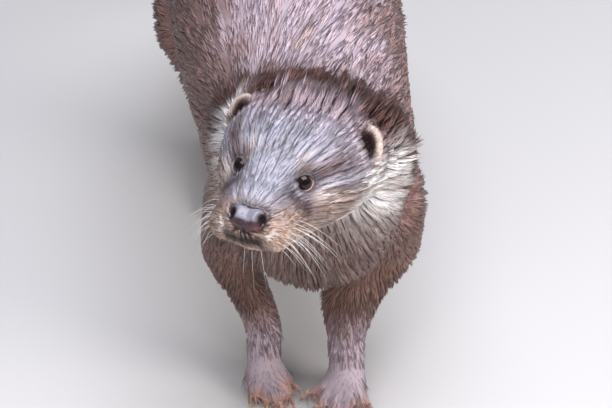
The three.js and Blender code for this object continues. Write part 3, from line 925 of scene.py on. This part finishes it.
def zonesAt(places, parts):
    # For each place the number of the coat piece that grows there.
    h = toHead(places)
    back, rise = h[:, 1], h[:, 2]
    zone = np.full(len(places), -1)
    names = list(coatPlan)
    onHead = np.isin(parts, partIndices(headNames))
    zone[onHead & (back < 6)] = names.index("coatFace")
    zone[onHead & (back - 0.5 * rise < -8) & (rise < -6)] = names.index("coatMuzzle")
    zone[onHead & (back >= 6)] = names.index("coatCheeks")
    zone[onHead & (back >= 6) & (rise > 0)] = names.index("coatCrown")
    for name, grounds in coatParts.items():
        zone[np.isin(parts, partIndices(grounds))] = names.index(name)
    zone[np.isin(parts, partIndices(["trunk"])) & (places[:, 1] > -0.12)] = names.index("coatBack")
    return zone


skinZones = zonesAt(skinPlaces, skinParts)
cornerZones = skinZones[skinCorners[:, 0]]


def bodyUnwrap(name, places):
    # Unrolls a part of the skin round its own axis into the unit square.
    if name in ("coatMuzzle", "coatFace", "coatCrown", "coatCheeks"):
        h = toHead(places) - (0, 30, -16)
        around = np.arctan2(h[:, 0], h[:, 2]) / (2 * math.pi) + 0.5
        along = np.arctan2(np.hypot(h[:, 0], h[:, 2]), -h[:, 1]) / math.pi
    elif name in ("coatEars", "coatForelegs", "coatHindLegs", "coatFeet"):
        around, along = np.empty(len(places)), np.empty(len(places))
        for left in (False, True):
            for hind in (False, True):
                half = ((places[:, 0] > -0.006) == left) & ((places[:, 1] > -0.05) == hind)
                if not half.any():
                    continue
                own = places[half]
                middle = (own.min(0) + own.max(0)) / 2
                turn = np.arctan2(own[:, 0] - middle[0], own[:, 1] - middle[1]) / (2 * math.pi) + 0.5
                tall = (own[:, 2] - own[:, 2].min()) / max(np.ptp(own[:, 2]), 1e-6)
                around[half] = (turn + left) / 2
                along[half] = (tall + hind) / 2 if name == "coatFeet" else tall
    else:
        order = np.argsort(places[:, 1])
        bins = np.array_split(order, 24)
        ys = np.array([places[b, 1].mean() for b in bins])
        xs = np.array([(places[b, 0].min() + places[b, 0].max()) / 2 for b in bins])
        zs = np.array([(places[b, 2].min() + places[b, 2].max()) / 2 for b in bins])
        cx, cz = np.interp(places[:, 1], ys, xs), np.interp(places[:, 1], ys, zs)
        around = np.arctan2(places[:, 0] - cx, places[:, 2] - cz) / (2 * math.pi) + 0.5
        along = places[:, 1]
    spread = (along - along.min()) / max(np.ptp(along), 1e-9)
    return 0.01 + 0.975 * np.column_stack([around, spread])


def locksFor(roots, lies, sides, weight, look, rng):
    # The lock each root belongs to, and the way across to its middle line.
    lockPicks, lockShares = skinRoots(max(len(roots) // look["lock"], 20), weight, rng)
    middles = atRoots(skinPlaces, lockPicks, lockShares)
    tree = placeTree(middles)
    near = np.array([[i for _, i, _ in tree.find_n(p, skinShape["nearLocks"])] for p in roots])
    off = middles[near] - roots[:, None]
    along = (off * lies[:, None]).sum(2)
    apart = (off**2).sum(2) - along**2
    best = np.argmin(apart + (along / look["stretch"]) ** 2, axis=1)[:, None]
    lockOf = np.take_along_axis(near, best, 1)[:, 0]
    across = ((middles[lockOf] - roots) * sides).sum(1)
    reach = np.zeros(len(middles))
    np.maximum.at(reach, lockOf, np.abs(across))
    edge = np.abs(across) / np.maximum(reach[lockOf], 1e-6)
    return across, edge, rng.normal(size=(len(middles), 4))[lockOf]


def growCoat(name, index):
    look = {**coatUsual, **coatPlan[name]}
    count, rings = look["tufts"], look["rings"]
    rng = np.random.default_rng(100 + index)
    coatAt = skinCoat[skinCorners].mean(1)
    weight = (cornerZones == index) * bare[skinCorners].min(1) / (coatAt[:, 0] * coatAt[:, 1])
    picks, shares = skinRoots(count, weight, rng)
    roots = atRoots(skinPlaces, picks, shares)
    normals = unit(atRoots(skinNormals, picks, shares))
    lies = unit(flatOn(atRoots(skinLie, picks, shares), normals))
    coat = atRoots(skinCoat, picks, shares)
    paint = atRoots(skinPaint, picks, shares)
    sides = unit(np.cross(lies, normals))
    across, edge, lockLook = locksFor(roots, lies, sides, weight, look, rng)
    length = coat[:, 0] * rng.uniform(*look["lengthSpread"], count) / 1000
    most = look["shiftLimit"] * length
    shift = np.clip(across * look["rootPull"], -most, most)
    roots += sides * shift[:, None]
    soft = 1 - look["underSoft"] * ramp(-toHead(roots)[:, 2], 12, 36)
    width = coat[:, 1] * rng.uniform(*look["widthSpread"], count) / 1000
    lift = coat[:, 3] * rng.uniform(*look["liftSpread"], count)
    lift = np.radians(lift * (1 + look["liftVary"] * lockLook[:, 0]))
    turn = np.radians(rng.normal(0, look["stray"], count) + look["stray"] * lockLook[:, 1])
    leaning = unit(lies * np.cos(turn)[:, None] + sides * np.sin(turn)[:, None])
    most = look["swayLimit"] * length
    sway = np.clip((across - shift) * look["tipPull"], -most, most)
    size = np.column_stack([length, width, width * look["thickness"]])
    ridge = look["ridge"] / 1000 * (1 - edge**2) * soft
    places, faces, steps = tuftArrays(roots, normals, leaning, size, lift, sway, ridge, rings)
    per = rings * 3 + 1
    if look["wave"]:
        swing = np.sin(steps * 5.2 + lockLook[:, 2:3] * 2) * (length * look["wave"])[:, None] * steps
        places += (sides[:, None, :] * swing[:, :, None]).reshape(-1, 3)
    limit = skinShape["floorLimit"]
    low = places[:, 2] < limit
    places[low, 2] = limit * np.exp((places[low, 2] - limit) / skinShape["floorFade"])
    tone = 1 + look["tuftTone"] * rng.normal(size=count) + look["lockTone"] * lockLook[:, 3]
    tone = (tone * (1 - look["edgeShade"] * edge**2 * soft)).clip(0.35, 1.5)
    warm = (rng.normal(size=count) + np.clip(-lockLook[:, 3], 0, 2)) * look["warmth"]
    own = paint * tone[:, None] * np.column_stack([1 + warm, np.ones(count), 1 - warm])
    shade = blend(look["rootShade"], look["tipShade"], ramp(steps, 0, 0.85))
    colours = (own[:, None, :] * shade[None, :, None]).reshape(-1, 3).clip(0, 1)
    mesh = newMesh(name, places, faces)
    setColours(mesh, colours)
    across = np.tile(np.append(np.tile([-1.0, 1.0, 0.0], rings), 0.0), count) * np.repeat(width * 1000, per)
    strand = mesh.attributes.new("strand", "FLOAT", "POINT")
    across += np.repeat(rng.uniform(0, 90, count), per)
    strand.data.foreach_set("value", across.astype(np.float32))
    patch = bodyUnwrap(name, roots)
    spread = np.column_stack([np.tile([-1, 1, 0], rings + 1)[:per], steps * 2 - 1]) * skinShape["patchHalf"]
    corner = (patch[:, None, :] + spread[None]).reshape(-1, 2)
    layer = mesh.uv_layers.new(name="OFBake")
    layer.data.foreach_set("uv", corner[faces.ravel()].astype(np.float32).ravel())
    thing = newObject(name, mesh)
    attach(thing, "root")
    return thing


coatPieces = {name: growCoat(name, index) for index, name in enumerate(coatPlan)}
print("coat:", sum(len(p.data.polygons) for p in coatPieces.values()), "triangles")

eyeLook = {
    "pupil": 24,  # half angles, degrees
    "iris": 48,
    "pupilColour": (8, 6, 8),
    "irisInner": (28, 15, 14),
    "irisOuter": (46, 23, 20),
    "limbus": (18, 11, 12),
    "white": (178, 150, 150),
    "rimDark": (34, 24, 28),
    # pink lid margin lightened with a painted wet highlight
    "rimPale": (190, 156, 156),
    "rimWidth": 0.34,
}


def orb(columns, rows):
    # Unit sphere, its poles on the first axis; returns points and triangles.
    lat = np.linspace(0, math.pi, rows + 1)[1:-1]
    lon = np.linspace(0, 2 * math.pi, columns, endpoint=False)
    ring = np.stack([np.repeat(np.cos(lat), columns), np.outer(np.sin(lat), np.cos(lon)).ravel(),
                     np.outer(np.sin(lat), np.sin(lon)).ravel()], 1)
    points = np.vstack([[1, 0, 0], ring, [-1, 0, 0]])
    faces, last = [], len(points) - 1
    for j in range(columns):
        k = (j + 1) % columns
        faces.append((0, 1 + j, 1 + k))
        faces.append((last, last - columns + k, last - columns + j))
        for i in range(rows - 2):
            a, b = 1 + i * columns + j, 1 + i * columns + k
            faces += [(a, a + columns, b + columns), (a, b + columns, b)]
    return points, np.array(faces)


def makeEye(name, side):
    facing, along, across = eyeAxes(side)
    points, faces = orb(56, 64)
    frameAxes = np.array([facing, along, across])
    if np.linalg.det(frameAxes) < 0:
        faces = faces[:, ::-1]
    angle = np.degrees(np.arccos(np.clip(points[:, 0], -1, 1)))
    bulge = 1 + 0.015 * np.exp(-(angle / 34) ** 4)
    h = (points * bulge[:, None]) @ frameAxes * eyePlan["ball"] * 0.985 + eyeCentre(side)
    mesh = newMesh(name, fromHead(h), faces)
    spoke = 0.5 + 0.5 * np.sin(np.arctan2(points[:, 2], points[:, 1]) * 28)
    look = {k: linear(v) for k, v in eyeLook.items() if isinstance(v, tuple)}
    colours = np.tile(look["white"], (len(points), 1))
    pupil, limit = eyeLook["pupil"], eyeLook["iris"]
    for tint, edge, soft in (("limbus", limit + 3, 2), ("irisOuter", limit - 3, 4),
                             ("irisInner", pupil + 11, 9), ("pupilColour", pupil, 1.5)):
        colours = blend(colours, look[tint], 1 - ramp(angle, edge - soft, edge + soft)[:, None])
    iris = ramp(angle, pupil, pupil + 4) * (1 - ramp(angle, 40, 45))
    colours *= (1 - 0.25 * iris * spoke)[:, None]
    setColours(mesh, colours)
    return newObject(name, mesh)


def tube(path, radii, sides, closed=False):
    # Points and triangles of a round tube along a path of points; ends come to a point if it is open.
    n = len(path)
    ahead = unit(np.roll(path, -1, 0) - np.roll(path, 1, 0)) if closed else unit(np.gradient(path, axis=0))
    first = unit(np.cross(ahead, (0.31, 0.22, 0.92)))
    second = np.cross(ahead, first)
    turns = np.linspace(0, 2 * math.pi, sides, endpoint=False)
    ring = first[:, None] * np.cos(turns)[None, :, None] + second[:, None] * np.sin(turns)[None, :, None]
    points = (path[:, None] + ring * np.asarray(radii)[:, None, None]).reshape(-1, 3)
    faces = []
    for i in range(n if closed else n - 1):
        a, b = i * sides, ((i + 1) % n) * sides
        for j in range(sides):
            k = (j + 1) % sides
            faces += [(a + j, a + k, b + k), (a + j, b + k, b + j)]
    if not closed:
        points = np.vstack([points, path[:1], path[-1:]])
        for j in range(sides):
            k = (j + 1) % sides
            faces.append((n * sides, k, j))
            faces.append((n * sides + 1, (n - 1) * sides + j, (n - 1) * sides + k))
    return points, np.array(faces)


def makeEyeRim(name, side):
    facing, along, across = eyeAxes(side)
    turns = np.linspace(0, 2 * math.pi, 84, endpoint=False)
    a, b = np.cos(turns), np.sin(turns)
    edge = np.radians(lidEdge(a, b))
    aside = along * a[:, None] + across * b[:, None]
    way = facing * np.cos(edge)[:, None] + aside * np.sin(edge)[:, None]
    path = eyeCentre(side) + way * (eyePlan["ball"] + 0.28)
    radii = eyeLook["rimWidth"] * (1 + 0.5 * (a < -0.75) * (np.abs(a) - 0.75) * 4)
    points, faces = tube(path, radii, 8, closed=True)
    # The lower and outer rim and the inner corner are pale: the pink lid margin lightened with a painted wet
    # highlight.
    pale = (1 - ramp(b - 0.55 * a, -1.0, -0.25)) * 0.9 + ramp(-a, 0.88, 1.0) * 0.5
    tint = blend(linear(eyeLook["rimDark"]), linear(eyeLook["rimPale"]), pale.clip(0, 1)[:, None])
    mesh = newMesh(name, fromHead(points), outward(points, faces))
    setColours(mesh, np.repeat(tint, 8, 0))
    return newObject(name, mesh)


def outward(points, faces):
    # Turns a closed shell's triangles so that they enclose a positive volume.
    a, b, c = (points[faces[:, k]] for k in range(3))
    return faces if (np.cross(a, b) * c).sum() > 0 else faces[:, ::-1]


noseLook = {
    "colour": (64, 42, 50),
    # painted highlight: the pale bluish top face of the wet pad, lit from above
    "top": (138, 136, 150),
    # dark red lining with painted shade deep in the openings
    "nostril": (26, 9, 12),
    "wing": (140, 88, 90),
    "nostrilAt": (9.2, 4.2),  # mm out from and above the middle of the pad
    "nostrilSize": (2.0, 2.6),
}


def dent(across, reach, up=0, tall=1):
    return np.exp(-((across / reach) ** 2 + (up / tall) ** 2))


def makeNose(name):
    points, faces = orb(120, 96)
    points = points[:, [1, 0, 2]] * (1, -1, 1)  # poles to the front and back
    x, y, z = points.T
    lean = math.radians(nosePlan["lean"])
    corner, narrow = padOutline(x, z)
    box = np.column_stack([x * corner * narrow, y, z * corner]) * np.array(nosePlan["half"])
    u, w = box[:, 0], box[:, 2]
    ax = np.abs(u)
    (nx, nz), (sx, sz) = noseLook["nostrilAt"], noseLook["nostrilSize"]
    drop = w - nz + 0.55 * (ax - nx)  # the openings run down and out
    pit = dent(ax - nx, sx, drop, sz)
    slit = dent(w - nz + 3.2, 1.3, ax - nx - 0.6, 1.2)
    wing = dent(ax - nx + 3.4, 1.9, w - nz, 3.4)
    below = dent(ax - nx + 1.6, 2.4, w - nz + 6.0, 2.0)
    push = 4.2 * pit + 1.6 * slit - 1.0 * wing * (1 - pit) - 0.6 * below
    push += 0.9 * dent(u, 0.8) * ramp(-w, 0.5, 4)  # groove down to the lip
    push -= 1.0 * dent(u, 5.5, w, 2.0)  # the edge between top and front
    push += 0.9 * dent(u, 3.0) * ramp(w, 2.0, 6)
    push += 0.10 * wander(points, 0.11, 31) + 0.06 * wander(points, 0.06, 32)
    box[:, 1] += push * ramp(-y, 0.0, 0.35)
    box[:, 2] -= 1.2 * dent(u, 4.0) * ramp(w, 3, 8)
    spin = np.array([[1, 0, 0], [0, math.cos(lean), -math.sin(lean)], [0, math.sin(lean), math.cos(lean)]])
    h = box @ spin.T + np.array(nosePlan["centre"])
    mesh = newMesh(name, fromHead(h), outward(h, faces))
    colours = np.tile(linear(noseLook["colour"]), (len(h), 1))
    # The pad's top face is painted pale bluish: a painted highlight of the overhead light on wet leather.
    paintedTopHighlight = ramp(w + 0.25 * wander(points, 0.4, 33) - 0.05 * ax, 2.0, 4.4) * (1 - ramp(ax, 8.6, 10.4))
    # The nostril pits are painted near black: dark lining and painted shade of the openings.
    for tint, amount in (("top", paintedTopHighlight * 0.9), ("wing", below * 0.4), ("nostril", 2.0 * pit + slit)):
        colours = blend(colours, linear(noseLook[tint]), np.clip(amount, 0, 1)[:, None])
    setColours(mesh, colours)
    return newObject(name, mesh)


whiskerPlan = {
    "rows": 4,
    "columns": 5,
    "longest": 33,  # mm
    "thick": 0.15,
    "droop": 0.95,
    "rootColour": (206, 196, 192),
    "tipColour": (246, 244, 242),
}


def makeWhiskers(name):
    rng = np.random.default_rng(71)
    skinTree = BVHTree.FromPolygons([tuple(p) for p in skinHead], [tuple(c) for c in skinCorners.tolist()])
    down = np.array([0, 0, -1.0]) @ headAxes.T
    allPoints, allFaces, shades, start = [], [], [], 0
    plans = []
    for side in (-1, 1):
        for row in range(whiskerPlan["rows"]):
            for column in range(whiskerPlan["columns"]):
                y = -36 + column * 4.2 + rng.uniform(-1.4, 1.4)
                z = -16.5 - row * 3.4 + rng.uniform(-1.1, 1.1)
                long = whiskerPlan["longest"] * (0.5 + 0.11 * column) * rng.uniform(0.7, 1.1)
                way = np.array([side * 0.82, 0.10 + 0.09 * column, -0.10 - 0.17 * row])
                way += rng.normal(0, 0.11, 3)
                plans.append(((side * 40, y, z), (side * 2, y, z), long, way, 1.0))
        for brow in range(3):
            place = (side * (13 + brow * 1.5), 6 + brow * 1.5, 30)
            plans.append((place, (place[0], place[1], 0), 16 * rng.uniform(0.8, 1.2),
                          np.array([side * 0.3, -0.1 + 0.25 * brow, 0.8]), 0.6))
    for chin in range(3):
        place = (-5 + chin * 5, -27 + abs(chin - 1) * 2, -70)
        plans.append((place, (place[0], place[1], -25), 22 * rng.uniform(0.6, 1.1),
                      np.array([0.12 * (chin - 1), 0.15, -0.9]), 0.8))
    for outside, inside, long, way, thick in plans:
        outside, inside = Vector(outside), Vector(inside)
        root = skinTree.ray_cast(outside, (inside - outside).normalized())[0]
        if root is None:
            continue
        t = np.linspace(0, 1, 12)[:, None]
        sag = whiskerPlan["droop"] * rng.uniform(0.6, 1.3) * (1 if way[2] < 0.5 else 0.3)
        way = unit(way)
        path = np.array(root) + way * (t * long - 0.8)
        path = path + (down + np.array([0, 0.25, 0])) * (sag * long * t**2 * 0.75)
        path += np.cross(way, down) * (rng.normal(0, 0.04) * long * t**2)
        points, faces = tube(path, whiskerPlan["thick"] * thick * (1 - 0.82 * t[:, 0] ** 1.2), 5)
        allPoints.append(points)
        allFaces.append(outward(points - np.array(root), faces) + start)
        start += len(points)
        shades.append(np.append(np.repeat(t[:, 0], 5), [0, 1]))
    mesh = newMesh(name, fromHead(np.concatenate(allPoints)), np.concatenate(allFaces))
    fade = ramp(np.concatenate(shades), 0, 0.3)[:, None]
    setColours(mesh, blend(linear(whiskerPlan["rootColour"]), linear(whiskerPlan["tipColour"]), fade))
    return newObject(name, mesh)


eyes = {name: makeEye(name, side) for name, side in (("eyeballLeft", 1), ("eyeballRight", -1))}
rims = {name: makeEyeRim(name, side) for name, side in (("lidRimLeft", 1), ("lidRimRight", -1))}
nosePad = makeNose("nosePad")
whiskers = makeWhiskers("whiskers")
skinThing = newObject("skin", newMesh("skin", skinPlaces, skinCorners))
# The skin is painted darker than the coat over it: darker undercoat with painted shade deep between the
# tufts, more on the head.
onHead = 1 - ramp(toHead(skinPlaces)[:, 1], 60, 120)
undercoatAndShade = blend(skinShape["underBody"], skinShape["underHead"], onHead)
setColours(skinThing.data, skinPaint * undercoatAndShade[:, None])
pieceRoles = (
    (skinThing, "fur", fleshNodes),
    (nosePad, "nose_skin", ["nose"]),
    (eyes["eyeballLeft"], "eye", ["eye_left"]),
    (eyes["eyeballRight"], "eye", ["eye_right"]),
    (rims["lidRimLeft"], "nose_skin", []),
    (rims["lidRimRight"], "nose_skin", []),
    (whiskers, "fur", []),
)
for piece, slot, replaced in pieceRoles:
    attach(piece, "root")
    if replaced:
        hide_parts(*replaced)
print("eyes, nose and whiskers made")


def newGroup(name, inputs, outputs):
    group = bpy.data.node_groups.new(name, "ShaderNodeTree")
    for direction, sockets in (("INPUT", inputs), ("OUTPUT", outputs)):
        for label, kind, value in sockets:
            socket = group.interface.new_socket(name=label, in_out=direction, socket_type=kind)
            if value is not None:
                socket.default_value = value
    return group, group.nodes.new("NodeGroupInput").outputs, group.nodes.new("NodeGroupOutput").inputs


def blotchGroup():
    # Uneven tone over a coloured surface, with a roughness that follows it.
    number, colour = "NodeSocketFloat", "NodeSocketColor"
    group, given, result = newGroup(
        "unevenTone",
        [("Colour", colour, None), ("Scale", number, 40.0), ("Spread", number, 0.2),
         ("Roughness", number, 0.5)],
        [("Colour", colour, None), ("Roughness", number, None)],
    )
    place = addNode(group, "TexCoord")["Object"]
    noise = addNode(group, "TexNoise", {}, {"Detail": 3}, {"Vector": place, "Scale": given["Scale"]})["Fac"]
    centred = addNode(group, "Math", {"operation": "SUBTRACT"}, {1: 0.5}, {0: noise})[0]
    spread = {0: centred, 1: given["Spread"]}
    gain = addNode(group, "Math", {"operation": "MULTIPLY_ADD"}, {2: 1}, spread)[0]
    tint = addNode(group, "VectorMath", {"operation": "SCALE"}, {}, {0: given["Colour"], "Scale": gain})[0]
    rough = addNode(group, "Math", {"operation": "MULTIPLY"}, {}, {0: given["Roughness"], 1: gain})[0]
    group.links.new(tint, result["Colour"])
    group.links.new(rough, result["Roughness"])
    return group


def reliefGroup():
    # Fine hair or grain as a height, from two sizes of noise.
    number = "NodeSocketFloat"
    group, given, result = newGroup(
        "fineRelief", [("Scale", number, 900.0), ("Coarse", number, 0.5)], [("Height", number, None)]
    )
    place = addNode(group, "TexCoord")["Object"]
    half = addNode(group, "Math", {"operation": "MULTIPLY"}, {1: 0.6}, {0: given["Scale"]})[0]
    fine = addNode(group, "TexNoise", {}, {}, {"Vector": place, "Scale": given["Scale"]})["Fac"]
    coarse = addNode(group, "TexVoronoi", {}, {}, {"Vector": place, "Scale": half})["Distance"]
    both = addNode(group, "Mix", {}, {}, {"Factor": given["Coarse"], "A": fine, "B": coarse})["Result"]
    group.links.new(both, result["Height"])
    return group


unevenTone, fineRelief = blotchGroup(), reliefGroup()


def bodyMaterial(name, look):
    paint, tree, shader = newPaint(name)
    colour = addNode(tree, "Attribute", {"attribute_name": "coatColour"})["Color"]
    if look.get("strands"):
        deep = look["strands"]
        reach = {"From Min": 0.3, "From Max": 0.7, "To Min": 1 - deep, "To Max": 1 + deep}
        strand = addNode(tree, "Attribute", {"attribute_name": "strand"})["Fac"]
        stripe = addNode(tree, "TexNoise", {"noise_dimensions": "1D"},
                         {"Scale": look["strandScale"], "Detail": 1}, {"W": strand})["Fac"]
        gain = addNode(tree, "MapRange", {}, reach, {"Value": stripe})[0]
        colour = addNode(tree, "VectorMath", {"operation": "SCALE"}, {}, {0: colour, "Scale": gain})[0]
    values = {key: look[key.lower()] for key in ("Scale", "Spread", "Roughness")}
    tone = addNode(tree, "Group", {"node_tree": unevenTone}, values, {"Colour": colour})
    tree.links.new(tone["Colour"], shader["Base Color"])
    tree.links.new(tone["Roughness"], shader["Roughness"])
    if look.get("bump"):
        grain = {"Scale": look["grain"], "Coarse": look["coarse"]}
        height = addNode(tree, "Group", {"node_tree": fineRelief}, grain)["Height"]
        depth = {"Strength": look["bump"], "Distance": look["deep"]}
        tree.links.new(addNode(tree, "Bump", {}, depth, {"Height": height})["Normal"], shader["Normal"])
    shader["Specular IOR Level"].default_value = look.get("gloss", 0.5)
    shader["Coat Weight"].default_value = look.get("coat", 0)
    shader["Coat Roughness"].default_value = look.get("coatRoughness", 0.05)
    return paint


materialLooks = {
    "wetFur": {"scale": 60, "spread": 0.35, "roughness": 0.5, "strands": 0.16, "strandScale": 1.6,
               "gloss": 0.35},
    "underFur": {"scale": 140, "spread": 0.4, "roughness": 0.6, "bump": 0.5, "grain": 1100,
                 "coarse": 0.2, "deep": 0.0006},
    "noseLeather": {"scale": 260, "spread": 0.35, "roughness": 0.34, "bump": 0.55, "grain": 1500,
                    "coarse": 0.85, "deep": 0.0003, "gloss": 0.45, "coat": 0.18, "coatRoughness": 0.2},
    "wetEye": {"scale": 300, "spread": 0.1, "roughness": 0.3, "gloss": 0.0, "coat": 0.8,
               "coatRoughness": 0.03},
    "lidSkin": {"scale": 500, "spread": 0.3, "roughness": 0.28, "bump": 0.2, "grain": 1800, "coarse": 0.3,
                "deep": 0.0002, "coat": 0.5, "coatRoughness": 0.1},
    "whiskerHair": {"scale": 200, "spread": 0.12, "roughness": 0.35},
}
wearers = {"wetFur": coatPieces.values(), "underFur": [skinThing], "noseLeather": [nosePad],
           "wetEye": eyes.values(), "lidSkin": rims.values(), "whiskerHair": [whiskers]}
for name, look in materialLooks.items():
    paint = bodyMaterial(name, look)
    for thing in wearers[name]:
        thing.data.materials.append(paint)

hornLook = {"scale": 420, "detail": 4, "dark": (104, 76, 66), "pale": (196, 166, 146), "roughness": 0.38}


def hornMaterial(look):
    paint, tree, shader = newPaint("clawHorn")
    place = addNode(tree, "TexCoord")["Object"]
    values = {"Scale": look["scale"], "Detail": look["detail"]}
    noise = addNode(tree, "TexNoise", {}, values, {"Vector": place})["Fac"]
    tint = tree.nodes.new("ShaderNodeValToRGB")
    for stop, place, colour in zip(tint.color_ramp.elements, (0.3, 0.75), (look["dark"], look["pale"])):
        stop.position = place
        stop.color = (*linear(colour), 1)
    tree.links.new(noise, tint.inputs["Fac"])
    tree.links.new(tint.outputs["Color"], shader["Base Color"])
    shader["Roughness"].default_value = look["roughness"]
    return paint


horn = hornMaterial(hornLook)
for name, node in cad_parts.items():
    if "claw" in name:
        node.data.materials.clear()
        node.data.materials.append(horn)
print("materials set")
